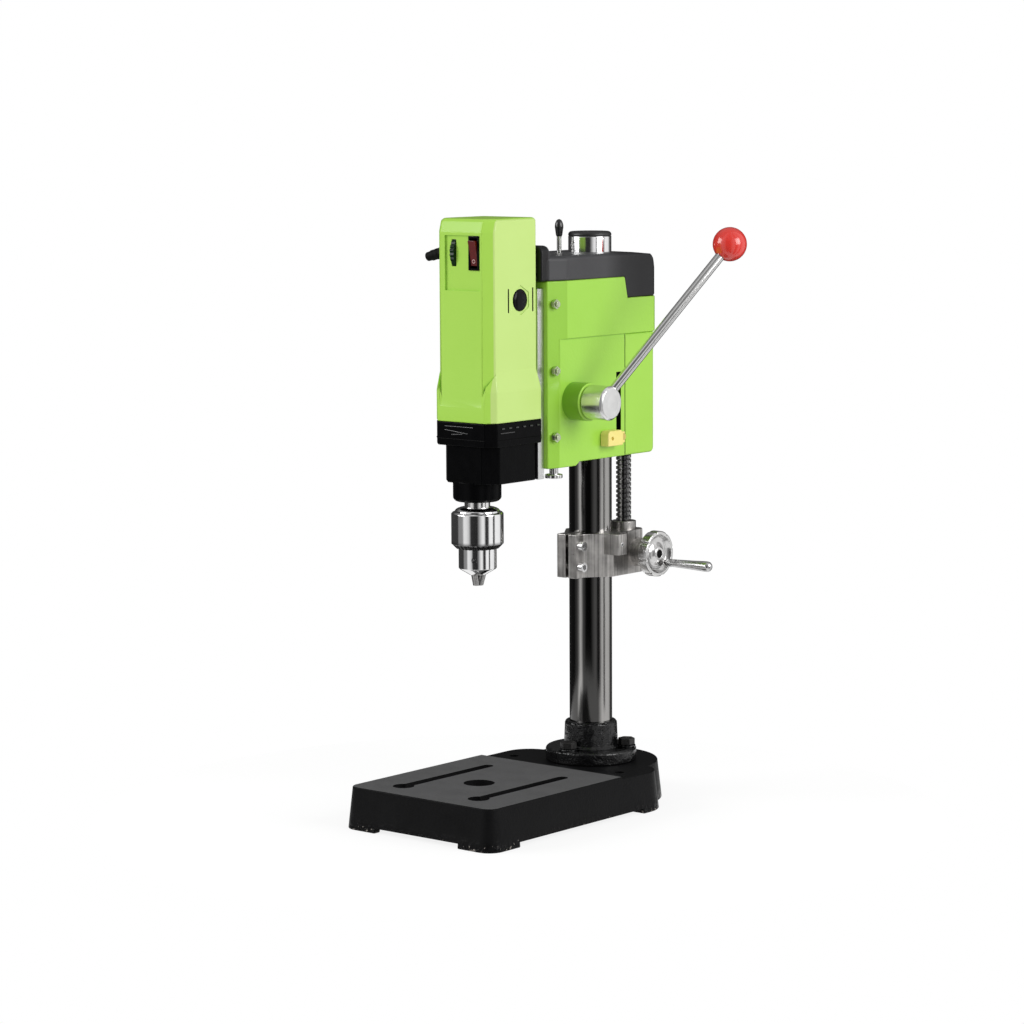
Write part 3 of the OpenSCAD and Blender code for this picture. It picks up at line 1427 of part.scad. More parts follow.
module layshaft() {
  color("#8f9195") translate([lay_x, -lay_y, 0]) {
    translate([0, 0, gear_hi_z]) linear_extrude(gear_face)
      polygon(gear_points(lay_big_teeth, gear_module, to_lay + 180 + 180 / lay_big_teeth));
    translate([0, 0, gear_lo_z]) linear_extrude(gear_face)
      polygon(gear_points(lay_small_teeth, gear_module, to_spindle));
    translate([0, 0, gear_lo_z - 6]) cylinder(d = lay_d, h = skirt_z - 1.5 - gear_lo_z + 6);
  }
}

module spindle_gear() {
  color("#8f9195") translate([0, -spindle_y, gear_lo_z]) difference() {
    linear_extrude(gear_face) polygon(gear_points(spindle_teeth, gear_module,
      to_spindle + 180 + 180 / spindle_teeth));
    translate([0, 0, -cut]) cylinder(d = spindle_shaft_d, h = gear_face + 2 * cut);
  }
}

module spindle() {
  color("#b7b9bc") {
    rod_z(spindle_shaft_d, nose_z - gap, gear_lo_z + gear_face, 0, -spindle_y);
    rod_z(spindle_d, chuck_top, nose_z - gap, 0, -spindle_y);
    rod_z(chuck_bore_d, ring_top - ring_lip * 4, chuck_top, 0, -spindle_y);
  }
}

module chuck_body() {
  r = chuck_d / 2;
  shoulder = ring_z + ring_lip;
  flange = ring_bore_r - ring_play;
  flange_low = ring_top - ring_lip;
  color("#c9cbce") difference() {
    translate([0, -spindle_y, 0]) rotate_extrude() polygon(concat(
      [[0, chuck_nose_z], [r - 2 * chuck_cone_h + 1, chuck_nose_z], [r - 1, chuck_low_z],
        [r, chuck_low_z + 1],
        [r, shoulder], [chuck_core_r, shoulder], [chuck_core_r, flange_low], [flange, flange_low],
          [flange, ring_top]],
      [for (i = [1 : 6]) [spindle_d / 2 + (flange - spindle_d / 2) * cos(15 * i),
        ring_top + chuck_dome_h * sin(15 * i)]],
      [[0, chuck_top]]
    ));
    rod_z(chuck_bore_d, ring_top - ring_lip * 4, chuck_top + cut, 0, -spindle_y);
    for (i = [0 : 2]) {
      jaw_way(i) translate([0, 0, -jaw_d]) cylinder(r = jaw_bore_r,
        h = (jaw_h + jaw_travel) / cos(jaw_lean) + jaw_d + 1);
      translate([0, -spindle_y, chuck_low_z + chuck_low_h / 2]) rotate([0, 0, 120 * i + 60])
        rotate([0, 90, 0])
        translate([0, 0, r - 7]) cylinder(d = key_hole_d, h = 8);
    }
  }
}

// Places a piece on the leaning path of one jaw, starting level with the jaw tips
module jaw_way(i) {
  translate([0, -spindle_y, jaw_tip_z]) rotate([0, 0, 120 * i - 90]) translate([jaw_start_r, 0, 0])
    rotate([0, jaw_lean, 0]) children();
}

module jaw(i) {
  reach = sleeve_ring_d;
  side = tan(60);
  color("#77797d") intersection() {
    jaw_way(i) translate([0, 0, -jaw_d]) cylinder(d = jaw_d, h = jaw_h / cos(jaw_lean) + jaw_d);
    translate([0, -spindle_y, jaw_tip_z]) rotate(120 * i - 90) linear_extrude(reach) polygon([
      [jaw_flat, -jaw_flat * side + 2 * jaw_gap], [reach, -reach * side + 2 * jaw_gap],
      [reach, reach * side - 2 * jaw_gap], [jaw_flat, jaw_flat * side - 2 * jaw_gap]
    ]);
  }
}
module chuck_jaw_1() { jaw(0); }
module chuck_jaw_2() { jaw(1); }
module chuck_jaw_3() { jaw(2); }

module chuck_sleeve() {
  r = sleeve_ring_d / 2;
  edge = 1.5;
  slope = 5;
  color("#d2d4d7") translate([0, -spindle_y, 0]) difference() {
    rotate_extrude() polygon([
      [chuck_d / 2 + run_fit, ring_z], [r - slope, ring_z], [r, ring_z + slope],
        [r, ring_top - edge], [r - edge, ring_top],
      [ring_bore_r, ring_top], [ring_bore_r, ring_z + ring_lip], [chuck_d / 2 + run_fit,
        ring_z + ring_lip]
    ]);
    for (i = [0 : chuck_teeth - 1]) rotate(i * 360 / chuck_teeth) translate([r - slope / 2, 0,
      ring_z + slope / 2])
      rotate([0, 45, 0]) cube([3, PI * sleeve_ring_d / chuck_teeth * 0.42, slope * 2],
        center = true);
  }
}

module chuck_nut() {
  low = ring_z + ring_lip;
  inner = jaw_start_r + (low - jaw_tip_z) * jaw_slope + jaw_d / 2 / cos(jaw_lean) + gap;
  color("#9a9ca0") translate([0, -spindle_y, low]) rotate_extrude() polygon([
    [inner, 0], [ring_bore_r, 0], [ring_bore_r, nut_t], [inner + nut_t * jaw_slope, nut_t]
  ]);
}

base();
column_flange();
flange_bolts();
column();
column_plug();
lift_bracket();
bracket_screws();
handwheel();
wheel_shaft();
wheel_bevel();
grip_pin();
wheel_grip();
lead_screw();
screw_bevel();
head_casting();
rear_cover();
top_cap();
gib_strip();
gib_screws();
lift_nut();
stop_stud();
spring_cup();
return_spring();
lock_rod();
lock_knob();
feed_shaft();
feed_pinion();
feed_hub();
lever_rod();
lever_ball();
stop_block();
stop_screw();
slide();
rack();
motor_housing();
field_coil();
carbon_brushes();
brush_caps();
cable_sleeve();
switch_bezel();
bearing_plate();
gearbox();
motor_bearings();
spindle_bearings();
speed_dial();
rocker();
armature_shaft();
armature_core();
commutator();
motor_fan();
layshaft();
spindle();
spindle_gear();
chuck_body();
chuck_sleeve();
chuck_nut();
chuck_jaw_1();
chuck_jaw_2();
chuck_jaw_3();
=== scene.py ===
"""Looks of the benchtop drill press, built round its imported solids, in the order in which it is put together."""

import json
import math

import bmesh
import bpy
import numpy as np
from mathutils import Matrix, Vector


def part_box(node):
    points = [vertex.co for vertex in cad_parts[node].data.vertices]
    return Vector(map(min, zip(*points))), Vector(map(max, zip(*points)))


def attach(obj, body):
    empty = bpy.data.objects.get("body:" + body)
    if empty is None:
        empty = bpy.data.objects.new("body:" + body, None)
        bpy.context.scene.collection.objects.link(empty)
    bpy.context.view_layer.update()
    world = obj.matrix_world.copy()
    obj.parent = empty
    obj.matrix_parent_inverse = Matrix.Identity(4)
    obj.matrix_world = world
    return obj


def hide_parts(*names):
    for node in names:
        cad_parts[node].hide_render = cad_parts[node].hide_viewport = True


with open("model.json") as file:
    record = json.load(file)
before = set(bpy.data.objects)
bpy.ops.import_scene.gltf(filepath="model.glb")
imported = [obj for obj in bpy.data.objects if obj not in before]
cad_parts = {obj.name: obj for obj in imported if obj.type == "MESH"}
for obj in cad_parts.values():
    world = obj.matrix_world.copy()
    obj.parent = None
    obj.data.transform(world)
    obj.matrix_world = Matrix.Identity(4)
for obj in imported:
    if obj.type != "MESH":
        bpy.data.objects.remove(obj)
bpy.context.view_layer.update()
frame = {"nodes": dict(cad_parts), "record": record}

# Camera: a long lens some three and a half metres away, in front of the machine and to its right,
# a little above the chuck and tipped slightly down.
lens = bpy.data.cameras.new("lens")
lens.sensor_width = 36.0
lens.lens = 117.51
camera = bpy.data.objects.new("camera", lens)
bpy.context.scene.collection.objects.link(camera)
bpy.context.scene.camera = camera
turn, tilt, roll = math.radians(39.882), math.radians(7.016), math.radians(-0.299)
forward = Vector((-math.sin(turn) * math.cos(tilt), math.cos(turn) * math.cos(tilt), -math.sin(tilt)))
level = Vector((math.cos(turn), math.sin(turn), 0.0))
right = level * math.cos(roll) + level.cross(forward) * math.sin(roll)
above = right.cross(forward)
looked_at, camera_away, camera_left, camera_up = Vector((0.0, 0.0, 0.302)), 3.5125, 0.082434, 0.001599
stand_point = looked_at - forward * camera_away - right * camera_left + above * camera_up
camera.matrix_world = Matrix((right, above, -forward)).transposed().to_4x4()
camera.matrix_world.translation = stand_point


class Shade:
    """One shader socket. Sums, products and comparisons of it add Math nodes, and node() adds any other node."""

    def __init__(self, tree, socket=None):
        self.tree, self.socket = tree, socket

    def node(self, kind, settings=None, links=None, out=0):
        made = self.tree.nodes.new(kind)
        for key, value in (settings or {}).items():
            if key == "stops":
                ramp = made.color_ramp.elements
                while len(ramp) < len(value):
                    ramp.new(1.0)
                for element, (place, colour) in zip(ramp, value):
                    element.position = place
                    element.color = (*colour, 1.0) if hasattr(colour, "__len__") else (colour, colour, colour, 1.0)
            else:
                setattr(made, key, value)
        for key, value in (links or {}).items():
            if isinstance(value, Shade):
                self.tree.links.new(value.socket, made.inputs[key])
            else:
                made.inputs[key].default_value = value
        return Shade(self.tree, made.outputs[out] if len(made.outputs) else None)

    def math(self, operation, first, second=0.0):
        return self.node("ShaderNodeMath", {"operation": operation}, {0: first, 1: second})

    def __add__(self, other):
        return self.math("ADD", self, other)

    def __radd__(self, other):
        return self.math("ADD", other, self)

    def __sub__(self, other):
        return self.math("SUBTRACT", self, other)

    def __rsub__(self, other):
        return self.math("SUBTRACT", other, self)

    def __mul__(self, other):
        return self.math("MULTIPLY", self, other)

    def __rmul__(self, other):
        return self.math("MULTIPLY", other, self)

    def __pow__(self, other):
        return self.math("POWER", self, other)

    def __gt__(self, other):
        return self.math("GREATER_THAN", self, other)

    def __lt__(self, other):
        return self.math("LESS_THAN", self, other)

    def part(self, letter):
        return self.node("ShaderNodeSeparateXYZ", {}, {0: self}, out=letter)

    def ramp(self, *stops):
        return self.node("ShaderNodeValToRGB", {"stops": stops}, {0: self})

    def mix(self, first, second):
        first, second = ((*c, 1.0) if isinstance(c, tuple) else c for c in (first, second))
        return self.node("ShaderNodeMix", {"data_type": "RGBA"}, {0: self, 6: first, 7: second}, out=2)


# Floor and studio: a pale round floor, two soft lamps and a white tent with dark gaps between its cloths,
# which plated steel shows as the dark and bright bands of a product photograph.
bpy.context.scene.view_settings.view_transform = "Standard"
floor_radius, floor_shift, floor_sides = 0.44, 0.27, 96
rim = np.linspace(0.0, 2.0 * math.pi, floor_sides, endpoint=False)
ground = bpy.data.meshes.new("floor")
ground.from_pydata(np.stack([np.cos(rim), np.sin(rim) - floor_shift, 0.0 * rim], 1) * floor_radius, [],
                   [list(range(floor_sides))])
floor = bpy.data.objects.new("floor", ground)
bpy.context.scene.collection.objects.link(floor)
pale = bpy.data.materials.new("pale floor")
pale.use_nodes = True
pale.node_tree.nodes.clear()
paint = Shade(pale.node_tree)
ray_kinds = ("Is Camera Ray", "Is Glossy Ray", "Is Transmission Ray")
ray = [paint.node("ShaderNodeLightPath", out=name) for name in ray_kinds]
seen = paint.math("MAXIMUM", ray[0], paint.math("MAXIMUM", ray[1], ray[2]))
matt = paint.node("ShaderNodeBsdfDiffuse", {}, {"Color": (0.88, 0.88, 0.88, 1.0)})
white = paint.node("ShaderNodeEmission", {}, {"Color": (1.0, 1.0, 1.0, 1.0), "Strength": 1.06})
shadowed = paint.node("ShaderNodeMixShader", {}, {0: seen * 0.8, 1: matt, 2: white})
paint.node("ShaderNodeOutputMaterial", {}, {0: shadowed})
ground.materials.append(pale)

room = bpy.data.worlds.new("room")
bpy.context.scene.world = room
room.use_nodes = True
room.node_tree.nodes.clear()
air = Shade(room.node_tree)
ray = [air.node("ShaderNodeLightPath", out=name) for name in ray_kinds]
direction = air.node("ShaderNodeTexCoord", out="Generated")
east, north, up = (direction.part(letter) for letter in "XYZ")
towards = east * math.sin(turn) - north * math.cos(turn)
across = east * math.cos(turn) + north * math.sin(turn)
bearing = air.math("ARCTAN2", across, towards) * (0.5 / math.pi) + 0.5
cloths = bearing.ramp((0.0, 0.05), (0.235, 0.04), (0.25, 0.24), (0.31, 0.28), (0.33, 0.85), (0.365, 0.8),
                      (0.395, 0.6), (0.42, 0.03), (0.5, 0.02), (0.52, 0.28), (0.56, 0.9), (0.585, 0.85), (0.6, 0.03),
                      (0.635, 0.04), (0.65, 0.95), (0.695, 1.0), (0.705, 0.06), (0.722, 0.06), (0.735, 1.0),
                      (0.82, 0.9), (0.85, 0.07), (1.0, 0.05))
roof = up.ramp((0.3, 0.0), (0.8, 0.4))
tent = air.math("MAXIMUM", cloths, roof)
shown = air.math("MAXIMUM", ray[0], ray[2])
lit = air.node("ShaderNodeBackground", {}, {"Color": up.ramp((0.3, 1.0), (0.9, 0.7)), "Strength": 0.56})
backdrop = air.node("ShaderNodeBackground", {}, {"Color": (1.0, 1.0, 1.0, 1.0), "Strength": 1.0})
mirror = air.node("ShaderNodeBackground", {}, {"Color": tent, "Strength": 1.0})
sky = air.node("ShaderNodeMixShader", {}, {0: ray[1], 1: lit, 2: mirror})
sky = air.node("ShaderNodeMixShader", {}, {0: shown, 1: sky, 2: backdrop})
air.node("ShaderNodeOutputWorld", {}, {0: sky})

lamps = (("left_lamp", (-1.7, -2.1, 1.5), 1.5, 42.0), ("right_lamp", (2.6, 0.3, 1.4), 1.6, 49.0))
for name, place, size, power in lamps:
    lamp = bpy.data.lights.new(name, "AREA")
    lamp.energy, lamp.size = power, size
    holder = bpy.data.objects.new(name, lamp)
    bpy.context.scene.collection.objects.link(holder)
    aim = Vector((0.0, -0.1, 0.35)) - Vector(place)
    holder.matrix_world = aim.to_track_quat("-Z", "Y").to_matrix().to_4x4()
    holder.matrix_world.translation = place


# Base: one hollow iron casting in black enamel, thick and shiny where it ran together along the feet and knocked off
# in small chips along the lower edge; its upward ground table is painted a far paler grey, a painted sheen from above.
def new_finish(name, **constants):
    """A new node material: its Object coordinates, and put(socket, value), which sets or links a socket."""
    made = bpy.data.materials.new(name)
    made.use_nodes = True
    shader = made.node_tree.nodes["Principled BSDF"]
    at = Shade(made.node_tree).node("ShaderNodeTexCoord", out="Object")

    def put(socket, value):
        if isinstance(value, Shade):
            made.node_tree.links.new(value.socket, shader.inputs[socket])
        else:
            shader.inputs[socket].default_value = value

    for socket, value in constants.items():
        put(socket.replace("_", " "), (*value, 1.0) if isinstance(value, tuple) else value)
    return made, at, put


def grain(at, scale, detail=3.0, stretch=(1.0, 1.0, 1.0)):
    """Noise of that many swings to the metre, pulled out by the stretch along each axis."""
    moved = at.node("ShaderNodeMapping", {}, {"Vector": at, "Scale": tuple(scale / s for s in stretch)})
    return at.node("ShaderNodeTexNoise", {}, {"Vector": moved, "Scale": 1.0, "Detail": detail, "Roughness": 0.55})


def relief(at, height, depth):
    return at.node("ShaderNodeBump", {}, {"Height": height, "Distance": depth})


def plain_finish(name, tint, rough, skin, **constants):
    """A finish that noise varies: tint is (dark, pale, noise), rough is (least roughness, what is added, noise) and
    skin is (depth of the relief, noise), where noise stands for the last arguments of grain."""
    made, at, put = new_finish(name, **constants)
    dark, pale, *noise = tint
    put("Base Color", grain(at, *noise).mix(dark, pale))
    least, more, *noise = rough
    put("Roughness", least + grain(at, *noise) * more)
    depth, *noise = skin
    put("Normal", relief(at, grain(at, *noise), depth))
    return made


def middle_of(node):
    """The middle of a CAD node's box."""
    return sum(np.array(corner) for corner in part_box(node)) / 2


bodies = {node: body for body, held in frame["record"]["behaviour"]["bodies"].items() for node in held}


def stand_for(piece, finish, *nodes):
    """Puts a piece in place of CAD nodes with the given finish: their body carries it, and the nodes are hidden."""
    if piece.name not in bpy.context.scene.collection.objects:
        bpy.context.scene.collection.objects.link(piece)
    piece.data.materials.clear()
    piece.data.materials.append(finish)
    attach(piece, bodies[nodes[0]])
    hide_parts(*nodes)
    return piece


def add_to(node, piece, finish):
    """A new piece that the body of a CAD node carries, with the given finish."""
    bpy.context.scene.collection.objects.link(piece)
    piece.data.materials.append(finish)
    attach(piece, bodies[node])


def face_width(face, sharp, places):
    """For each edge of a face, the least way straight across the face to a sharp edge, from a few places on it: the
    ray place + t * inward meets the line start + u * way where t and u follow from cross products."""
    ends = np.array([(loop.vert.co, loop.link_loop_next.vert.co) for loop in face.loops])
    start, way = ends[:, 0], ends[:, 1] - ends[:, 0]
    normal = np.array(face.normal)
    inward = np.cross(normal, way)
    inward /= np.linalg.norm(inward, axis=1, keepdims=True) + 1e-12
    slant = np.cross(inward[:, None], way[None]) @ normal
    slant = np.where(np.abs(slant) < 1e-12, 1e-12, slant)
    is_sharp = np.array([loop.edge.index in sharp for loop in face.loops])[None]
    least = np.full(len(ends), np.inf)
    for share in places:
        gap = start[None] - (start + share * way)[:, None]
        t = np.cross(gap, way[None]) @ normal / slant
        u = np.cross(gap, inward[:, None]) @ normal / slant
        met = (t > 1e-6) & (u > -0.01) & (u < 1.01) & is_sharp
        least = np.minimum(least, np.where(met, t, np.inf).min(1))
    return least


def hole_rims(edges):
    """Those of the edges that hang together in a group whose faces look to its own middle, as round a hole."""
    left, found = {edge.index: edge for edge in edges}, []
    while left:
        group = [left.popitem()[1]]
        for edge in group:
            near = {e.index for vert in edge.verts for e in vert.link_edges}
            group += [left.pop(index) for index in sorted(near) if index in left]
        points = {vert.index: vert.co for edge in group for vert in edge.verts}
        middle = sum(points.values(), Vector()) / len(points)
        out = sum((edge.verts[0].co - middle).dot(face.normal) for edge in group for face in edge.link_faces)
        if out < 0.0:
            found += [edge.index for edge in group]
    return found


def softened(node, name, finish, width, segments=2, least=24.0, places=(0.5,)):
    """A copy of a solid with rounded corners: doubles merged, flat facets joined, and a bevel on each edge that
    turns outward by more than the least number of degrees, less wide on narrow faces. Hollow corners and the rims
    of holes stay sharp. No point may leave the solid's box."""
    doubles, slivers, flat, share = 2e-6, 2e-4, math.radians(2.0), 0.4
    work = bmesh.new()
    work.from_mesh(frame["nodes"][node].data)
    bmesh.ops.remove_doubles(work, verts=work.verts, dist=doubles)
    bmesh.ops.dissolve_limit(work, angle_limit=flat, verts=work.verts, edges=work.edges)
    bmesh.ops.dissolve_degenerate(work, dist=slivers, edges=work.edges)
    work.verts.index_update()
    work.edges.index_update()
    work.normal_update()
    sharp = {e.index for e in work.edges if len(e.link_faces) == 2 and e.calc_face_angle(0.0) > math.radians(least)}
    room = np.full(len(work.edges), width)
    for face in work.faces:
        of_face = [loop.edge.index for loop in face.loops]
        room[of_face] = np.minimum(room[of_face], share * face_width(face, sharp, places))
    convex = [edge for edge in work.edges if edge.index in sharp and edge.is_convex]
    room[list(sharp - {edge.index for edge in convex})] = 0.0
    room[hole_rims(convex)] = 0.0
    weight = work.edges.layers.float.new("bevel_weight_edge")
    for edge in work.edges:
        edge.smooth = edge.index not in sharp or bool(room[edge.index] > 0.0)
        edge[weight] = room[edge.index] / width if edge.index in sharp else 0.0
    plain = bpy.data.meshes.new(name)
    work.to_mesh(plain)
    work.free()
    for extra in ("custom_normal", "sharp_face"):
        if extra in plain.attributes:
            plain.attributes.remove(plain.attributes[extra])
    plain.shade_smooth()
    piece = bpy.data.objects.new(name, plain)
    bpy.context.scene.collection.objects.link(piece)
    bevel = piece.modifiers.new("rounding", "BEVEL")
    bevel.width, bevel.segments, bevel.use_clamp_overlap, bevel.loop_slide = width, segments, False, False
    bevel.limit_method, bevel.harden_normals = "WEIGHT", True
    shape = bpy.data.meshes.new_from_object(piece.evaluated_get(bpy.context.evaluated_depsgraph_get()))
    piece.modifiers.clear()
    piece.data = shape
    points = np.empty(len(shape.vertices) * 3, np.float32)
    shape.vertices.foreach_get("co", points)
    shape.vertices.foreach_set("co", np.clip(points.reshape(-1, 3), *np.float32(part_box(node))).ravel())
    return stand_for(piece, finish, node)


table_z, foot_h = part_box("base")[1][2], 0.013
base_enamel, at, put = new_finish("base enamel", Specular_IOR_Level=0.07)
height = at.part("Z")
low = at.math("MAXIMUM", 1.0 - height * (1.0 / foot_h), 0.0)
facing = at.node("ShaderNodeNewGeometry", out="Normal").part("Z")
# Painted sheen: the upward faces of the ground table get a far paler grey than the sides.
top_sheen_mask = (facing > 0.9) * (height > table_z - 0.0006)
mottle = grain(at, 45.0, 4.0)
specks = grain(at, 520.0, 2.0)
chips = (grain(at, 260.0, 5.0) + low * 0.16) > 0.755
sprayed = mottle.mix((0.0022, 0.0022, 0.0024), (0.0056, 0.0056, 0.006))
painted_top_sheen = (mottle * 0.6 + specks * 0.4).mix((0.066, 0.066, 0.067), (0.128, 0.128, 0.130))
put("Base Color", chips.mix(top_sheen_mask.mix(sprayed, painted_top_sheen), (0.23, 0.21, 0.19)))
put("Roughness", 0.36 + mottle * 0.14 - low * 0.26 + chips * 0.2 + top_sheen_mask * 0.12)
put("Normal", relief(at, specks * 0.35 + grain(at, 170.0, 2.0) * (0.25 + low * 3.0), 0.0007))
softened("base", "base_casting", base_enamel, 0.0013, 3)


# Column flange: a cast collar on a round foot, dipped in thick gloss enamel that rounds every corner
# and pools round the three hexagon bolts. The bolts are blacked steel.
flange_enamel, at, put = new_finish("flange enamel", Specular_IOR_Level=0.4)
pools = grain(at, 120.0, 3.0)
put("Base Color", pools.mix((0.002, 0.002, 0.0022), (0.006, 0.006, 0.0065)))
put("Roughness", 0.1 + grain(at, 60.0, 2.0) * 0.16)
put("Normal", relief(at, pools * 0.9 + grain(at, 420.0, 2.0) * 0.25, 0.0016))
softened("column_flange", "column_foot", flange_enamel, 0.0016, 3)

rubbed = (300.0, 4.0)
blacked_steel = plain_finish("blacked steel", ((0.012, 0.012, 0.013), (0.05, 0.048, 0.046), *rubbed),
                             (0.28, 0.25, *rubbed), (0.0001, 1500.0, 2.0), Metallic=0.6)
softened("flange_bolts", "foot_bolts", blacked_steel, 0.0007)


# Column: drawn steel tube, ground along its length and chromed, so that faint lines run up it. Below the head its
# colour carries painted reflection, dark and bright bands across the tube as the camera sees it. A moulded plug
# closes its open top.
def surface(name, points, ring=True, sharp=35.0):
    """A mesh over a grid of points. Rows follow each other, columns close into a ring, and rows that shrink to
    one point become a pole."""
    rows, columns = points.shape[:2]
    row = np.arange(rows - 1)[:, None]
    column = np.arange(columns if ring else columns - 1)[None, :]
    after = (column + 1) % columns
    first = row * columns
    quads = np.stack([first + column, first + after, first + columns + after, first + columns + column], -1)
    mesh = bpy.data.meshes.new(name)
    mesh.from_pydata(points.reshape(-1, 3), [], quads.reshape(-1, 4).tolist())
    work = bmesh.new()
    work.from_mesh(mesh)
    bmesh.ops.remove_doubles(work, verts=work.verts, dist=2e-7)
    bmesh.ops.recalc_face_normals(work, faces=work.faces)
    work.to_mesh(mesh)
    work.free()
    mesh.shade_smooth()
    mesh.set_sharp_from_angle(angle=math.radians(sharp))
    return bpy.data.objects.new(name, mesh)


def rounded(corners, radius, steps=4):
    """A profile whose inner corners are replaced by arcs: each arc is the quadratic curve between the two points
    that lie the radius away from the corner along its sides."""
    corners = np.asarray(corners, float)
    before, corner, after = corners[:-2], corners[1:-1], corners[2:]
    back, on = before - corner, after - corner
    reach = np.minimum(radius, 0.45 * np.minimum(np.hypot(*back.T), np.hypot(*on.T)))[:, None]
    start = corner + back / np.hypot(*back.T)[:, None] * reach
    stop = corner + on / np.hypot(*on.T)[:, None] * reach
    t = np.linspace(0.0, 1.0, steps + 1)[None, :, None]
    arcs = (1 - t) ** 2 * start[:, None] + 2 * t * (1 - t) * corner[:, None] + t ** 2 * stop[:, None]
    return np.concatenate([corners[:1], arcs.reshape(-1, 2), corners[-1:]])


def turned(name, profile, foot, axis, around=96, wave=None):
    """A turned piece: profile points are (distance along the axis, radius). The point at (s, angle) is
    foot + s * axis + radius * (cos angle * u + sin angle * v), and wave(s, angle) may add to the radius."""
    axis = np.asarray(axis, float) / np.linalg.norm(axis)
    side = np.cross(axis, (0.0, 0.0, 1.0) if abs(axis[2]) < 0.9 else (1.0, 0.0, 0.0))
    side /= np.linalg.norm(side)
    other = np.cross(axis, side)
    along, radius = np.asarray(profile, float).T
    angle = np.linspace(0.0, 2.0 * math.pi, around, endpoint=False)
    spread = radius[:, None] + (wave(along[:, None], angle[None, :]) if wave else 0.0 * angle[None, :])
    round_it = np.cos(angle)[:, None] * side + np.sin(angle)[:, None] * other
    points = np.asarray(foot) + along[:, None, None] * axis + spread[..., None] * round_it[None]
    return surface(name, points)


column_low, column_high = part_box("column")
column_r, column_wall = column_high[0], 0.004
column_chrome, at, put = new_finish("column chrome", Metallic=1.0)
drawn = grain(at, 2600.0, 2.0, (1.0, 1.0, 240.0))
smears_and_band_wobble = grain(at, 30.0, 3.0, (1.0, 1.0, 3.0))
above_painted_bands = at.part("Z").ramp((0.52, 0.0), (0.58, 1.0))
painted_band_grey = smears_and_band_wobble.mix((0.32, 0.312, 0.302), (0.46, 0.45, 0.44))
column_d = 0.045
# Painted reflection: below the head the chrome is banded dark and bright across the tube as seen from the camera.
side = at.part("X") * (math.cos(turn) / column_d) + at.part("Y") * (math.sin(turn) / column_d) + 0.5
painted_reflection_bands = (side + smears_and_band_wobble * 0.06 - 0.03).ramp((0.0, 0.2), (0.17, 0.2), (0.22, 1.0), (0.26, 1.0), (0.31, 0.12),
                                          (0.66, 0.12), (0.76, 0.9), (1.0, 0.95))
put("Base Color", above_painted_bands.mix(painted_reflection_bands.mix((0.018, 0.018, 0.018), painted_band_grey), (0.84, 0.84, 0.845)))
put("Roughness", 0.07 + drawn * 0.06 + smears_and_band_wobble * 0.05)
put("Normal", relief(at, drawn, 0.00003))
tube = rounded([(column_low[2], column_r - column_wall), (column_low[2], column_r), (column_high[2], column_r),
                (column_high[2], column_r - column_wall), (column_low[2], column_r - column_wall)], 0.0006)
stand_for(turned("column_tube", tube, (0, 0, 0), (0, 0, 1), 144), column_chrome, "column")

plug_plastic = plain_finish("plug plastic", ((0.012, 0.012, 0.013), (0.022, 0.022, 0.023), 90.0),
                            (0.3, 0.18, 900.0, 2.0), (0.00006, 1800.0, 2.0))
softened("column_plug", "column_cap", plug_plastic, 0.0012, 3)


# Lift bracket: an aluminium block sawn open on one side and drawn together round the column by two socket
# screws. Its faces are milled, so fine lines cross them, and its corners are only just broken.
milled_alloy, at, put = new_finish("milled aluminium", Metallic=1.0)
cuts = grain(at, 2300.0, 2.0, (40.0, 40.0, 1.0))
stain = grain(at, 70.0, 4.0)
strokes = grain(at, 420.0, 3.0, (1.0, 1.0, 50.0))
put("Base Color", (stain * 0.4 + strokes * 0.6).ramp((0.34, (0.19, 0.184, 0.178)), (0.66, (0.60, 0.58, 0.56))))
put("Roughness", 0.2 + cuts * 0.16 + stain * 0.08)
put("Normal", relief(at, cuts + grain(at, 500.0, 2.0) * 0.4, 0.00009))
softened("lift_bracket", "lift_clamp", milled_alloy, 0.0007)

bright_steel = plain_finish("bright steel", ((0.55, 0.55, 0.555), (0.72, 0.715, 0.71), 160.0),
                            (0.16, 0.16, 1400.0), (0.00004, 1400.0), Metallic=1.0)
softened("bracket_screws", "clamp_screws", bright_steel, 0.0004)


# Lift screw: square thread, rolled on a steel rod, with painted shade, black, in its grooves and a painted highlight
# along the side to the camera's left, with a plain journal that turns in the bracket. The surface is r(angle, height):
# r follows the place in the pitch.
oiled_steel, at, put = new_finish("oiled steel", Metallic=1.0)
oil = grain(at, 240.0, 3.0)
put("Roughness", 0.14 + oil * 0.16)
put("Normal", relief(at, grain(at, 1600.0, 2.0), 0.00004))
screw_low, screw_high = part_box("lead_screw")
screw_x, screw_y, _ = middle_of("lead_screw")
screw_r, thread_depth, pitch = (screw_high[0] - screw_low[0]) / 2, 0.0014, 0.005
away = ((at.part("X") - screw_x) ** 2.0 + (at.part("Y") - screw_y) ** 2.0) ** 0.5
# Painted shade: the thread below the crests is black.
groove_shade = away.ramp((screw_r - 0.0010, 1.0), (screw_r - 0.0005, 0.0))
to_right = (at.part("X") - screw_x) * math.cos(turn) + (at.part("Y") - screw_y) * math.sin(turn)
around = to_right * (0.5 / screw_r) + 0.5
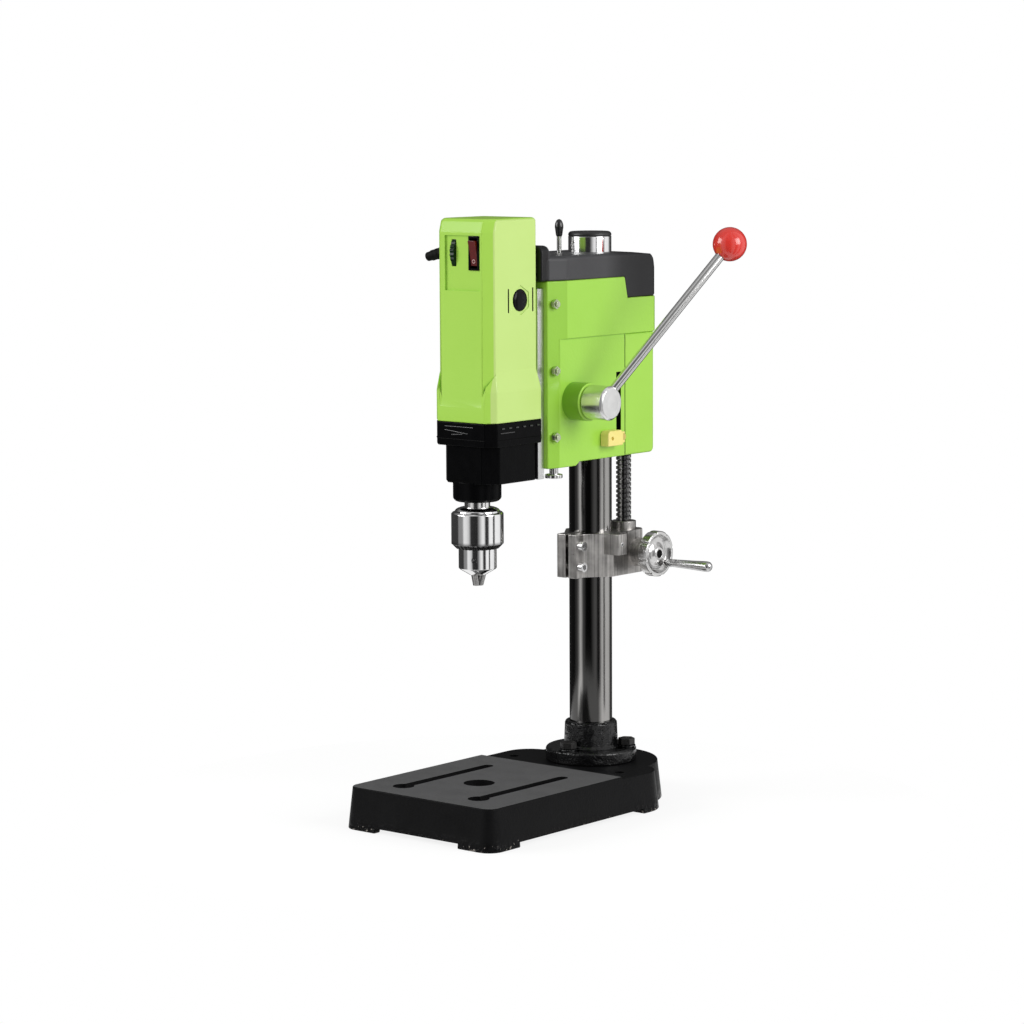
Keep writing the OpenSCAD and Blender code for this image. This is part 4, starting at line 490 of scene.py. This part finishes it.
# Painted highlight: the crests are bright on the side to the camera's left and dark in the middle.
painted_highlight_side = around.ramp((0.0, 1.0), (0.34, 1.0), (0.42, 0.08), (0.7, 0.08), (0.85, 0.3), (1.0, 0.4))
crest_with_painted_highlight = painted_highlight_side.mix((0.03, 0.03, 0.03), oil.mix((0.62, 0.615, 0.61), (0.82, 0.815, 0.81)))
put("Base Color", groove_shade.mix(crest_with_painted_highlight, (0.008, 0.008, 0.008)))
play, tail_r, journal_r = 0.0003, 0.003, 0.005
thread_z, journal_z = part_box("lift_bracket")[1][2] + play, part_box("screw_bevel")[1][2] + play
journal = np.array([(screw_low[2], 0.0), (screw_low[2], tail_r), (journal_z, tail_r), (journal_z, journal_r),
                    (thread_z, journal_r), (thread_z, screw_r - thread_depth)])
height = np.linspace(thread_z, screw_high[2], 600)
angle = np.linspace(0.0, 2.0 * math.pi, 40, endpoint=False)
place = (height[:, None] / pitch - angle[None, :] / (2.0 * math.pi)) % 1.0
groove = np.clip((np.abs(place - 0.5) - 0.12) / 0.08, 0.0, 1.0)
reach = np.concatenate([journal[:, 1:] + 0.0 * angle, screw_r - thread_depth * (1.0 - groove), 0.0 * angle[None, :]])
height = np.concatenate([journal[:, 0], height, [screw_high[2]]])
thread = np.stack([screw_x + reach * np.cos(angle), screw_y + reach * np.sin(angle),
                   height[:, None] + 0.0 * reach], -1)
stand_for(surface("lift_screw_thread", thread), oiled_steel, "lead_screw")


# Mitre gears, wheel shaft and grip pin: cut from bar, hardened and greased. They sit out of sight in the bearing
# block and the grip, so the solids are shown as they are.
def keep(finish, *nodes):
    """Gives CAD nodes that stay as they are a finish of their own."""
    for node in nodes:
        frame["nodes"][node].data.materials.clear()
        frame["nodes"][node].data.materials.append(finish)


greased_steel, at, put = new_finish("greased steel", Metallic=1.0)
grease = grain(at, 200.0, 3.0)
put("Base Color", grease.ramp((0.35, (0.42, 0.42, 0.43)), (0.62, (0.30, 0.26, 0.19))))
put("Roughness", 0.2 + grease * 0.3)
put("Normal", relief(at, grease, 0.0002))
keep(greased_steel, "screw_bevel", "wheel_bevel", "wheel_shaft", "grip_pin")


# Handwheel and grip: turned from aluminium bar and polished, so that tool marks run round them. Eight shallow
# notches in the rim mark the turn, a thin black hexagon on the hub's face is painted shade for its socket, and
# the grip swells to a round end.
def rings(at, axis, centre, step):
    """Tool marks of a lathe: noise that changes only with the distance from the axis and along it."""
    moved = at.node("ShaderNodeMapping", {}, {"Vector": at, "Location": tuple(-c for c in centre)})
    flat = tuple(0.0 if i == axis else 1.0 for i in range(3))
    plane = at.node("ShaderNodeVectorMath", {"operation": "MULTIPLY"}, {0: moved, 1: flat})
    away = at.node("ShaderNodeVectorMath", {"operation": "LENGTH"}, {0: plane}, out="Value")
    both = at.node("ShaderNodeCombineXYZ", {}, {0: away, 1: moved.part("XYZ"[axis])})
    return at.node("ShaderNodeTexNoise", {}, {"Vector": both, "Scale": 1.0 / step, "Detail": 2.0})


def turned_alloy(name, axis, centre, dark, pale, rough):
    made, at, put = new_finish(name, Metallic=1.0)
    marks = rings(at, axis, centre, 0.0006)
    put("Base Color", grain(at, 110.0, 3.0).mix(dark, pale))
    put("Roughness", rough + marks * 0.14)
    put("Normal", relief(at, marks, 0.00012))
    return made


wheel_low, wheel_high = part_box("handwheel")
_, wheel_y, wheel_z = middle_of("handwheel")
wheel_alloy = turned_alloy("wheel aluminium", 0, (0, wheel_y, wheel_z), (0.56, 0.555, 0.55), (0.74, 0.735, 0.73), 0.14)
wheel_w, wheel_r, wheel_bore = wheel_high[0] - wheel_low[0], (wheel_high[2] - wheel_low[2]) / 2, 0.0041
notch_count, notch_depth, notch_half = 8, 0.0013, 0.09
wheel_profile = rounded([(0.0, wheel_bore), (0.0, 0.009), (0.0035, 0.0095), (0.0035, 0.0175), (0.0, 0.0195),
                         (0.0, wheel_r - 0.001), (0.001, wheel_r), (wheel_w - 0.001, wheel_r),
                         (wheel_w, wheel_r - 0.001), (wheel_w, 0.0203), (0.0096, 0.0194), (0.0064, 0.0168),
                         (0.0058, 0.0125), (0.0078, 0.0096), (wheel_w - 0.0006, 0.0074), (wheel_w, 0.0066),
                         (wheel_w, wheel_bore), (0.0, wheel_bore)], 0.0012)


def rim_notches(s, angle):
    """Small round notches: where the outer rim lies within about 4 degrees of an eighth turn, it drops by 1.3 mm."""
    off = np.abs((angle * notch_count / (2.0 * math.pi) + 0.25) % 1.0 - 0.5)
    near = np.clip(1.0 - (off / notch_half) ** 2, 0.0, 1.0)
    return -notch_depth * near * (wheel_profile[:, 1:] > wheel_r - 0.002)


wheel = turned("lift_handwheel", wheel_profile, (wheel_low[0], wheel_y, wheel_z), (1, 0, 0), 240, rim_notches)
stand_for(wheel, wheel_alloy, "handwheel")
six = np.linspace(0.0, 2.0 * math.pi, 6, endpoint=False)
socket_r, socket_h = 0.0045, 0.00015
socket_out = np.array((0.0, socket_r, socket_r, 0.0))
socket_x = wheel_high[0] + np.array((0.0, 0.0, socket_h, socket_h))
socket = np.stack(np.broadcast_arrays(socket_x[:, None], wheel_y + socket_out[:, None] * np.sin(six),
                                      wheel_z + socket_out[:, None] * np.cos(six)), -1)
# Painted shade: a black hexagon sheet laid over the bore stands in for the shadowed socket.
socket_painted_shade, at, put = new_finish("socket painted shade", Specular_IOR_Level=0.05)
put("Base Color", grain(at, 500.0).mix((0.003, 0.003, 0.003), (0.008, 0.008, 0.008)))
put("Roughness", 0.5 + grain(at, 900.0) * 0.2)
add_to("handwheel", surface("wheel_hex_socket_shade", socket), socket_painted_shade)
grip_low, grip_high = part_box("wheel_grip")
_, grip_y, grip_z = middle_of("wheel_grip")
grip_l, grip_r, grip_bore = grip_high[0] - grip_low[0], (grip_high[1] - grip_low[1]) / 2, 0.00255
bore_end = grip_l - 2 * grip_r + 0.0003
arc = np.linspace(0.0, math.pi / 2, 9)
grip_end = np.stack([grip_l - grip_r + grip_r * np.sin(arc), grip_r * np.cos(arc)], 1)
grip_profile = rounded([(0.0, grip_bore), (0.0, 0.0041), (0.001, 0.0047), (0.006, 0.0040),
                        (grip_l * 0.55, grip_r * 0.86), (grip_l - grip_r * 1.5, grip_r), *grip_end[1:],
                        (bore_end, 0.0), (bore_end, grip_bore), (0.0, grip_bore)], 0.0008)
grip_alloy = turned_alloy("grip aluminium", 0, (0, grip_y, grip_z), (0.50, 0.50, 0.505), (0.66, 0.66, 0.66), 0.12)
handle = turned("wheel_handle", grip_profile, (grip_low[0], grip_y, grip_z), (1, 0, 0), 64)
stand_for(handle, grip_alloy, "wheel_grip")


# Head: an aluminium casting that clamps round the column and carries the dovetail, with a pressed cover behind.
# Both wear thick lime-green enamel with a slight orange skin, with painted shade: darker green on the boss of the
# feed and on the front corner facets, black in the slot of the depth stop and dark in the seam between the two.
def inside(at, low, high):
    """1 between two corners, in Object coordinates, and 0 elsewhere."""
    found = 1.0
    for letter, least, most in zip("XYZ", low, high):
        found = found * (at.part(letter) > least) * (at.part(letter) < most)
    return found


cover_y, band_z, seam_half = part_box("rear_cover")[0][1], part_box("rear_cover")[1][2], 0.0007


def lime_coat(name, deep, bright, rough, skin, patches, gloss=0.4):
    """Lime enamel or plastic, clouded between two greens, dark in a painted shade strip along the seam.
    Each patch is a box with two colours of its own, used for painted shade and sheen.
    """
    made, at, put = new_finish(name, Coat_Roughness=0.12, Specular_IOR_Level=gloss)
    cloud = grain(at, 16.0, 3.0)
    peel = grain(at, 420.0, 2.0)
    # Painted shade: a dark strip in the seam between casting and cover.
    seam_shade = inside(at, (-1.0, cover_y - seam_half, 0.0), (1.0, cover_y + seam_half, band_z))
    colour = cloud.mix(deep, bright)
    for low, high, tones in patches:
        colour = inside(at, low, high).mix(colour, cloud.mix(*tones))
    put("Base Color", seam_shade.mix(colour, (0.06, 0.13, 0.012)))
    put("Roughness", rough + peel * 0.12)
    put("Coat Weight", 0.12 + cloud * 0.16)
    put("Normal", relief(at, peel, skin))
    return made


# Painted shade colours: black for the stop slot and the motor vents, darker greens for the front corner facets and the
# feed boss.
black = ((0.003, 0.003, 0.003), (0.004, 0.004, 0.004))
corner_shade_green = ((0.265, 0.545, 0.034), (0.305, 0.60, 0.046))
boss_shade_green = ((0.15, 0.36, 0.02), (0.20, 0.43, 0.028))
head_front, head_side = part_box("head_casting")[0][1], 0.044
corner_high, corner_low = head_front + 0.025, head_front + 0.0146
boss_r, boss_foot, boss_end = 0.0197, head_side + 0.0002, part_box("feed_hub")[0][0] - 0.0012
_, feed_y, feed_z = middle_of("feed_hub")
boss = ((boss_foot, feed_y - boss_r, feed_z - boss_r), (boss_end, feed_y + boss_r, feed_z + boss_r))
stop_slot = ((0.0315, -0.01205, 0.3795), (head_side - 0.0003, -0.00395, 0.4545))
head_patches = [((0.0, head_front, band_z), (1.0, corner_high, 1.0), corner_shade_green),
                ((0.0, head_front, 0.0), (1.0, corner_low, band_z), corner_shade_green),
                (*boss, boss_shade_green), (*stop_slot, black)]
head_enamel = lime_coat("head enamel", (0.325, 0.635, 0.056), (0.375, 0.70, 0.078), 0.30, 0.00016, head_patches)
softened("head_casting", "head_body", head_enamel, 0.0014, 3, 9.5)
cover_enamel = lime_coat("cover enamel", (0.335, 0.64, 0.056), (0.385, 0.705, 0.080), 0.34, 0.00014,
                         [(*stop_slot, black)])
softened("rear_cover", "head_rear_cover", cover_enamel, 0.0022, 3)


# Top cap: moulded black plastic with a fine spark texture, pressed over the head. Its shoulder is rounded and its
# front carries a small hood; between hood and rear it is painted grey as sheen, fading as painted shade to the rear.
cap_plastic, at, put = new_finish("cap plastic", Specular_IOR_Level=0.32)
spark = grain(at, 1300.0, 2.0)
cap_front, cap_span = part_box("top_cap")[0][1], 0.2
# Painted sheen: grey from just behind the hood to midway, falling off as painted shade towards the rear.
back = (at.part("Y") - cap_front) * (1.0 / cap_span)
painted_sheen_band = back.ramp((0.05, 0.0), (0.06, 1.0), (0.48, 1.0), (0.62, 0.3), (0.78, 0.08))
painted_sheen_grey = grain(at, 24.0).mix((0.042, 0.042, 0.045), (0.066, 0.066, 0.070))
put("Base Color", painted_sheen_band.mix((0.003, 0.003, 0.004), painted_sheen_grey))
put("Roughness", 0.34 + spark * 0.14)
put("Normal", relief(at, spark, 0.00012))
softened("top_cap", "head_cap", cap_plastic, 0.0022, 3, 12.5)


# Gib, gib screws, stop stud: ground and plated steel. The screws stand in lock nuts along the front edge of
# the head, and the stud hangs below it with a broad round flange.
# The gib screws' steel is tinted green, a painted reflection of the green head around them.
steel_painted_reflection = plain_finish("steel with painted green reflection", ((0.44, 0.50, 0.33), (0.62, 0.68, 0.50), 260.0),
                          (0.2, 0.18, 900.0), (0.00005, 1200.0, 2.0), Metallic=1.0)
softened("gib_screws", "gib_set_screws", steel_painted_reflection, 0.0003)
keep(greased_steel, "gib_strip")
plated_steel = plain_finish("plated steel", ((0.70, 0.69, 0.68), (0.82, 0.815, 0.81), 140.0),
                            (0.09, 0.12, 1100.0), (0.00004, 900.0, 2.0), Metallic=1.0)
softened("stop_stud", "stop_guide_stud", plated_steel, 0.0008, 3)

# Lift nut, spring cup, return spring: a bronze nut in the head, and a flat blue steel spiral in a plastic cup
# on the hidden side.
patina = (180.0, 4.0)
nut_bronze = plain_finish("nut bronze", ((0.42, 0.27, 0.10), (0.60, 0.42, 0.18), *patina), (0.24, 0.2, *patina),
                          (0.00005, 1200.0, 2.0), Metallic=1.0)
keep(nut_bronze, "lift_nut")
spring_steel = plain_finish("spring steel", ((0.12, 0.14, 0.20), (0.26, 0.25, 0.26), 90.0), (0.22, 0.12, 90.0),
                            (0.00004, 1500.0, 2.0), Metallic=1.0)
keep(spring_steel, "return_spring")
softened("spring_cup", "return_spring_cup", cap_plastic, 0.0014, 3)


# Head lock: a thin plated rod that stands up beside the column, a hair thinner than its bore, with a pear-shaped
# plastic knob.
lock_low, lock_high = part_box("lock_rod")
lock_play = 0.00006
lock_r, lock_l = (lock_high[0] - lock_low[0]) / 2 - lock_play, lock_high[2] - lock_low[2]
lock_foot = (*middle_of("lock_rod")[:2], lock_low[2])
lock_profile = [(0.0, 0.0), (0.0, lock_r - 0.0004), (0.0004, lock_r), (lock_l, lock_r), (lock_l, 0.0)]
stand_for(turned("lock_spindle", lock_profile, lock_foot, (0, 0, 1), 48), plated_steel, "lock_rod")
knob_plastic = plain_finish("knob plastic", ((0.008, 0.008, 0.009), (0.016, 0.016, 0.017), 150.0),
                            (0.2, 0.15, 500.0), (0.00005, 700.0, 2.0), Coat_Weight=0.3, Coat_Roughness=0.08)
knob_low, knob_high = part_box("lock_knob")
knob_r, knob_l = (knob_high[0] - knob_low[0]) / 2, knob_high[2] - knob_low[2]
bulge, widest = np.linspace(0.0, 1.0, 24), 0.55
dome = np.sqrt(np.clip(1.0 - ((bulge - widest) / 0.45) ** 2, 0.0, 1.0))
dome[:12] = np.interp(bulge[:12], [0.0, 0.06, widest], [0.6, 0.74, 1.0])
knob_profile = np.concatenate([[(0.0, 0.0)], np.stack([knob_l * bulge, knob_r * dome], 1)])
knob_foot = (*middle_of("lock_knob")[:2], knob_low[2])
stand_for(turned("lock_pear_knob", knob_profile, knob_foot, (0, 0, 1), 48), knob_plastic, "lock_knob")


# Feed: a shaft with its pinion, a hub turned from aluminium bar, a polished steel lever screwed into it at a
# lean, and a red moulded ball on the end.
keep(greased_steel, "feed_shaft", "feed_pinion")
hub_low, hub_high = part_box("feed_hub")
hub_l, hub_r = hub_high[0] - hub_low[0], (hub_high[2] - hub_low[2]) / 2
hub_back, hub_front = 0.0012, 0.0022
hub_profile = rounded([(0.0, 0.0), (0.0, hub_r - hub_back), (hub_back, hub_r), (hub_l - hub_front, hub_r),
                       (hub_l, hub_r - hub_front), (hub_l, 0.0)], 0.0006)
hub_alloy = turned_alloy("hub aluminium", 0, (0, feed_y, feed_z), (0.66, 0.66, 0.655), (0.80, 0.80, 0.795), 0.17)
stand_for(turned("lever_hub", hub_profile, (hub_low[0], feed_y, feed_z), (1, 0, 0), 128), hub_alloy, "feed_hub")

lean, rise = math.radians(20.0), math.radians(53.0)
lever_root = np.array((hub_high[0] - 0.012, feed_y, feed_z))
lever_way = np.array((math.sin(lean), math.cos(lean) * math.cos(rise), math.cos(lean) * math.sin(rise)))
lever_start, lever_end, lever_r = 0.010, 0.20125, 0.005
lever_profile = rounded([(lever_start, 0.0), (lever_start, lever_r), (lever_end, lever_r), (lever_end, 0.0)], 0.0004)
lever_steel = plain_finish("lever steel", ((0.62, 0.62, 0.615), (0.76, 0.755, 0.75), 420.0), (0.17, 0.05, 420.0),
                           (0.000006, 900.0, 2.0), Metallic=1.0)
stand_for(turned("feed_lever_rod", lever_profile, lever_root, lever_way, 64), lever_steel, "lever_rod")

ball_plastic = plain_finish("ball plastic", ((0.66, 0.028, 0.020), (0.78, 0.045, 0.032), 70.0),
                            (0.16, 0.14, 300.0), (0.00006, 160.0, 2.0), Coat_Weight=0.6, Coat_Roughness=0.05)
ball_r, ball_at, mouth_r = 0.0175, 0.210, 0.0062
turn_up = np.linspace(math.asin(mouth_r / ball_r), math.pi, 40)
ball_profile = np.stack([ball_at - ball_r * np.cos(turn_up), ball_r * np.sin(turn_up)], 1)
mouth = ball_profile[0, 0]
ball_bore = [(lever_end, 0.0), (lever_end, lever_r), (mouth + 0.001, lever_r), (mouth, mouth_r - 0.0007)]
ball_profile = np.concatenate([ball_bore, ball_profile])
stand_for(turned("lever_knob", ball_profile, lever_root, lever_way, 72), ball_plastic, "lever_ball")


# Depth stop: a moulded yellow block that slides in a slot of the head and is nipped by one small screw, plated
# with yellow zinc.
stop_plastic = plain_finish("stop plastic", ((0.86, 0.72, 0.20), (0.92, 0.80, 0.27), 80.0),
                            (0.34, 0.14, 800.0, 2.0), (0.00008, 1100.0, 2.0), Coat_Weight=0.15, Coat_Roughness=0.2)
softened("stop_block", "depth_stop_block", stop_plastic, 0.0012, 3)
zinc_yellow = plain_finish("yellow zinc", ((0.62, 0.47, 0.13), (0.78, 0.64, 0.24), 300.0),
                           (0.24, 0.14, 900.0), (0.00004, 1200.0), Metallic=1.0)
softened("stop_screw", "depth_stop_screw", zinc_yellow, 0.0003)


# Slide and rack: a ground steel dovetail plate with the rack screwed to its back. The grinding lines run up and
# down its edge, which shows beside the motor.
strokes = (3000.0, 2.0, (1.0, 1.0, 90.0))
ground_steel = plain_finish("ground steel", ((0.56, 0.56, 0.56), (0.70, 0.70, 0.695), 60.0), (0.18, 0.2, *strokes),
                            (0.00005, *strokes), Metallic=1.0)
softened("slide", "dovetail_slide", ground_steel, 0.0005)
keep(greased_steel, "rack")


# Motor cover: moulded lime-green plastic, paler and duller than the casting, its right flank painted paler still as
# sheen, with a sunk switch panel and two narrow vents on each flank painted black as shade.
# Painted sheen on the right flank; painted shade, black, in the vents.
flank_sheen_green = ((0.53, 0.73, 0.21), (0.57, 0.775, 0.24))
flank_x, vent_x, vent_half, vent_low, vent_high = 0.0352, 0.0363, 0.0012, 0.522, 0.548
motor_patches = [((flank_x, -1.0, 0.0), (1.0, 0.0, 1.0), flank_sheen_green)]
for y in (-0.176, -0.138):
    motor_patches.append(((-vent_x, y - vent_half, vent_low), (vent_x, y + vent_half, vent_high), black))
motor_plastic = lime_coat("motor plastic", (0.395, 0.70, 0.085), (0.435, 0.745, 0.105), 0.30, 0.00008,
                          motor_patches, 0.15)
softened("motor_housing", "motor_cover", motor_plastic, 0.0013, 3, 9.5, (0.2, 0.35, 0.5, 0.65, 0.8))

# Brush caps, switch frame, cable sleeve: black mouldings. The domed caps screw into the cover, the frame snaps
# into its panel, and the ribbed rubber sleeve leaves the left side.
gloss_black = plain_finish("gloss black plastic", ((0.003, 0.003, 0.0035), (0.007, 0.007, 0.0075), 130.0),
                           (0.05, 0.08, 600.0, 2.0), (0.00005, 900.0, 2.0), Specular_IOR_Level=0.1)
brush_low, brush_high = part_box("brush_caps")
_, brush_y, brush_z = middle_of("brush_caps")
brush_r, brush_t, edge_t = (brush_high[2] - brush_low[2]) / 2, 0.003, 0.0006
dome = np.stack([edge_t + (brush_t - edge_t) * np.sin(arc), brush_r * np.cos(arc)], 1)
dome = np.concatenate([[(0.0, 0.0), (0.0, brush_r)], dome])
right_cap = turned("brush_screw_caps", dome, (brush_high[0] - brush_t, brush_y, brush_z), (1, 0, 0), 64)
left_cap = turned("left_cap", dome, (brush_low[0] + brush_t, brush_y, brush_z), (-1, 0, 0), 64)
pair = bmesh.new()
pair.from_mesh(right_cap.data)
pair.from_mesh(left_cap.data)
pair.to_mesh(right_cap.data)
pair.free()
bpy.data.objects.remove(left_cap)
stand_for(right_cap, gloss_black, "brush_caps")
softened("switch_bezel", "switch_frame", gloss_black, 0.0005)
smudge = (160.0, 4.0)
sleeve_rubber = plain_finish("sleeve rubber", ((0.003, 0.003, 0.003), (0.009, 0.009, 0.0085), *smudge),
                             (0.5, 0.2, *smudge), (0.0001, 1000.0, 2.0), Specular_IOR_Level=0.1)
softened("cable_sleeve", "cable_strain_sleeve", sleeve_rubber, 0.0003)


# Speed dial and rocker: a dark green knurled wheel that looks out of a slit, and a dark red rocker with a
# small ring mark on its lower half.
dial_plastic = plain_finish("dial plastic", ((0.002, 0.014, 0.004), (0.004, 0.028, 0.007), 120.0),
                            (0.22, 0.15, 500.0, 2.0), (0.00005, 900.0, 2.0), Specular_IOR_Level=0.2)
softened("speed_dial", "speed_wheel", dial_plastic, 0.0004)
rocker_plastic = plain_finish("rocker plastic", ((0.085, 0.006, 0.006), (0.15, 0.011, 0.009), 160.0),
                              (0.15, 0.12, 500.0, 2.0), (0.00004, 700.0, 2.0), Coat_Weight=0.4, Coat_Roughness=0.06)
softened("rocker", "switch_rocker", rocker_plastic, 0.0006)
rocker_x, _, rocker_z = middle_of("rocker")
mark_in, mark_down, mark_r, mark_tube = 0.00466, 0.008, 0.0017, 0.0004
mark_at = np.array((rocker_x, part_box("rocker")[0][1] + mark_in, rocker_z - mark_down))
mark_out = np.array((0.0, -0.988, -0.156))
swing = np.linspace(0.0, 2.0 * math.pi, 12)
mark_profile = np.stack([mark_tube * np.sin(swing), mark_r + mark_tube * np.cos(swing)], 1)
mark_paint = plain_finish("mark paint", ((0.55, 0.32, 0.30), (0.70, 0.45, 0.42), 400.0), (0.3, 0.1, 900.0),
                          (0.00003, 1500.0))
add_to("rocker", turned("rocker_mark", mark_profile, mark_at, mark_out, 32), mark_paint)


# Gearbox: aluminium casting under the motor in deep gloss black, with a round spindle nose. A bead and short
# ribs stand on its rim; the ribs and lugs are glossier and a lighter black, a painted glint where their edges catch
# the light.
gear_enamel, at, put = new_finish("gearbox enamel", Specular_IOR_Level=0.045)
flow = grain(at, 90.0, 3.0)
put("Base Color", flow.mix((0.0012, 0.0012, 0.0014), (0.0026, 0.0026, 0.003)))
put("Roughness", 0.18 + flow * 0.16)
put("Normal", relief(at, flow * 0.7 + grain(at, 500.0, 2.0) * 0.2, 0.0005))
softened("gearbox", "gear_case", gear_enamel, 0.0012, 3)


def bead(name, path, radius):
    """A round cord along a path: point + radius * (cos a * across + sin a * up), with across level and square to the
    path, and both ends drawn to a point."""
    path = np.asarray(path, float)
    way = np.gradient(path, axis=0)
    way /= np.linalg.norm(way, axis=1, keepdims=True)
    across = np.cross(way, (0.0, 0.0, 1.0))
    across /= np.linalg.norm(across, axis=1, keepdims=True)
    upward = np.cross(across, way)
    a = np.linspace(0.0, 2.0 * math.pi, 14, endpoint=False)[None, :, None]
    cord = path[:, None] + radius * (np.cos(a) * across[:, None] + np.sin(a) * upward[:, None])
    return surface(name, np.concatenate([path[:1, None] + 0.0 * cord[:1], cord, path[-1:, None] + 0.0 * cord[-1:]]))


rim_low, rim_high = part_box("gearbox")
rim_x, rim_y, cut, left_end, right_end = rim_high[0], rim_low[1], 0.0095, 0.06, 0.074
bead_z, rib_z = rim_high[2] - 0.0172, rim_high[2] - 0.0045
rim_path = [(-rim_x, rim_y + left_end), (-rim_x, rim_y + cut), (-rim_x + cut, rim_y), (rim_x - cut, rim_y),
            (rim_x, rim_y + cut), (rim_x, rim_y + right_end)]
# Painted glint: the ribs and lugs are a lighter black than the case, with more gloss.
rib_enamel_painted_glint = plain_finish("rib enamel painted glint", ((0.01, 0.01, 0.011), (0.03, 0.03, 0.031), 200.0), (0.16, 0.14, 300.0),
                           (0.0002, 500.0), Specular_IOR_Level=0.7)
add_to("gearbox", bead("gear_case_bead", [(x, y, bead_z) for x, y in rim_path], 0.0006), gear_enamel)
front_ribs = (((-0.021, 0.0), (0.016, 0.0)), ((-0.021, -0.0036), (0.009, -0.0066)),
              ((-0.012, -0.0082), (0.002, -0.0072)))
for number, ends in enumerate(front_ribs):
    rib = [(x, rim_y, rib_z + z) for x, z in ends]
    add_to("gearbox", bead("gear_case_rib_%d" % number, rib, 0.0005), rib_enamel_painted_glint)
lug_l, lug_z, side_rib_z = 0.004, rib_z - 0.001, rib_z - 0.0055
for number, y in enumerate(np.arange(0.016, 0.072, 0.011)):
    lug = [(rim_x, rim_y + y, lug_z), (rim_x, rim_y + y + lug_l, lug_z)]
    add_to("gearbox", bead("gear_case_lug_%d" % number, lug, 0.0009), rib_enamel_painted_glint)
side_rib = [(rim_x, rim_y + y, side_rib_z) for y in (0.014, 0.036)]
add_to("gearbox", bead("gear_case_side_rib", side_rib, 0.0006), rib_enamel_painted_glint)


# Inside the motor and gearbox: enamelled copper field, carbon brushes, laminated core, copper segments, moulded
# fan, ball bearings and hobbed gears, all as they leave the workshop.
windings = (1400.0, 2.0, (1.0, 1.0, 30.0))
coil_copper = plain_finish("coil copper", ((0.42, 0.17, 0.07), (0.62, 0.31, 0.14), *windings), (0.25, 0.2, *windings),
                           (0.0003, *windings), Metallic=1.0)
keep(coil_copper, "field_coil", "commutator")
brush_carbon = plain_finish("brush carbon", ((0.02, 0.02, 0.02), (0.055, 0.054, 0.052), 900.0), (0.55, 0.3, 1200.0),
                            (0.0001, 2000.0), Specular_IOR_Level=0.3)
keep(brush_carbon, "carbon_brushes")
sheets = (2500.0, 1.0, (60.0, 60.0, 1.0))
core_iron = plain_finish("core iron", ((0.17, 0.17, 0.18), (0.34, 0.34, 0.35), *sheets), (0.3, 0.2, *sheets),
                         (0.0002, *sheets), Metallic=1.0)
keep(core_iron, "armature_core")
fan_plastic = plain_finish("fan plastic", ((0.014, 0.014, 0.015), (0.030, 0.030, 0.031), 200.0), (0.4, 0.2, 900.0),
                           (0.0001, 1500.0))
keep(fan_plastic, "motor_fan")
keep(milled_alloy, "bearing_plate")
keep(bright_steel, "motor_bearings", "spindle_bearings", "armature_shaft")
keep(greased_steel, "layshaft", "spindle_gear")
keep(plated_steel, "spindle")


# Chuck: a keyed three-jaw chuck, ground and chromed. The sleeve has the key's bevel teeth along its lower edge,
# painted black as shade round them, and three hardened jaws come out of the nose at a lean.
ring_low, ring_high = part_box("chuck_sleeve")
_, spindle_y, _ = middle_of("chuck_sleeve")
ring_h, ring_r = ring_high[2] - ring_low[2], (ring_high[1] - ring_low[1]) / 2


def chrome(name, shade_band=None):
    """Polished chrome with faint rings round the spindle, painted black as shade where the shade band is 1."""
    made, at, put = new_finish(name, Metallic=1.0)
    handled = grain(at, 120.0, 4.0)
    colour, rough = handled.mix((0.80, 0.80, 0.805), (0.90, 0.90, 0.90)), 0.05 + handled * 0.07
    if shade_band:
        painted_shade_low = at.part("Z").ramp(*shade_band)
        colour, rough = painted_shade_low.mix(colour, (0.02, 0.02, 0.02)), rough + painted_shade_low * 0.2
    put("Base Color", colour)
    put("Roughness", rough)
    put("Normal", relief(at, rings(at, 2, (0, spindle_y, 0), 0.0005), 0.00002))
    return made


body_r, ring_bore, lip, slope, ring_edge = 0.01935, ring_r - 0.0032, 0.0045, 0.005, 0.0016
tooth_count, tooth_depth, tooth_fade = 30, 0.0017, 0.0018
cone = np.linspace(0.0, slope, 16)
upper = rounded([(slope, ring_r), (ring_h - ring_edge, ring_r), (ring_h, ring_r - ring_edge), (ring_h, ring_bore),
                 (lip, ring_bore), (lip, body_r), (0.0, body_r)], 0.0006)
ring_profile = np.concatenate([[(0.0, body_r)], np.stack([cone, ring_r - slope + cone], 1), upper[1:]])
on_cone = ((np.arange(len(ring_profile)) > 0) & (np.arange(len(ring_profile)) <= len(cone)))[:, None]


def key_teeth(s, angle):
    """Bevel teeth: on the lower cone the radius drops in the gaps, by a rounded square wave of the angle."""
    gaps = 1.0 / (1.0 + np.exp(-6.0 * np.cos(tooth_count * angle)))
    fade = np.clip((slope - s) / tooth_fade, 0.0, 1.0)
    return -tooth_depth * gaps * fade * on_cone


# Painted shade: the lowest few millimetres of the sleeve, with the key teeth, are black.
ring_chrome = chrome("ring chrome", ((ring_low[2] + 0.0046, 1.0), (ring_low[2] + 0.0058, 0.0)))
ring = turned("chuck_ring", ring_profile, (0, spindle_y, ring_low[2]), (0, 0, 1), 360, key_teeth)
stand_for(ring, ring_chrome, "chuck_sleeve")
softened("chuck_body", "chuck_core", chrome("chuck chrome"), 0.0004)
keep(greased_steel, "chuck_nut")
hard = (400.0, 4.0)
jaw_steel = plain_finish("jaw steel", ((0.26, 0.255, 0.25), (0.46, 0.455, 0.45), *hard), (0.22, 0.16, *hard),
                         (0.0001, *hard), Metallic=1.0)
for number in "123":
    softened("chuck_jaw_" + number, "gripping_jaw_" + number, jaw_steel, 0.0002)
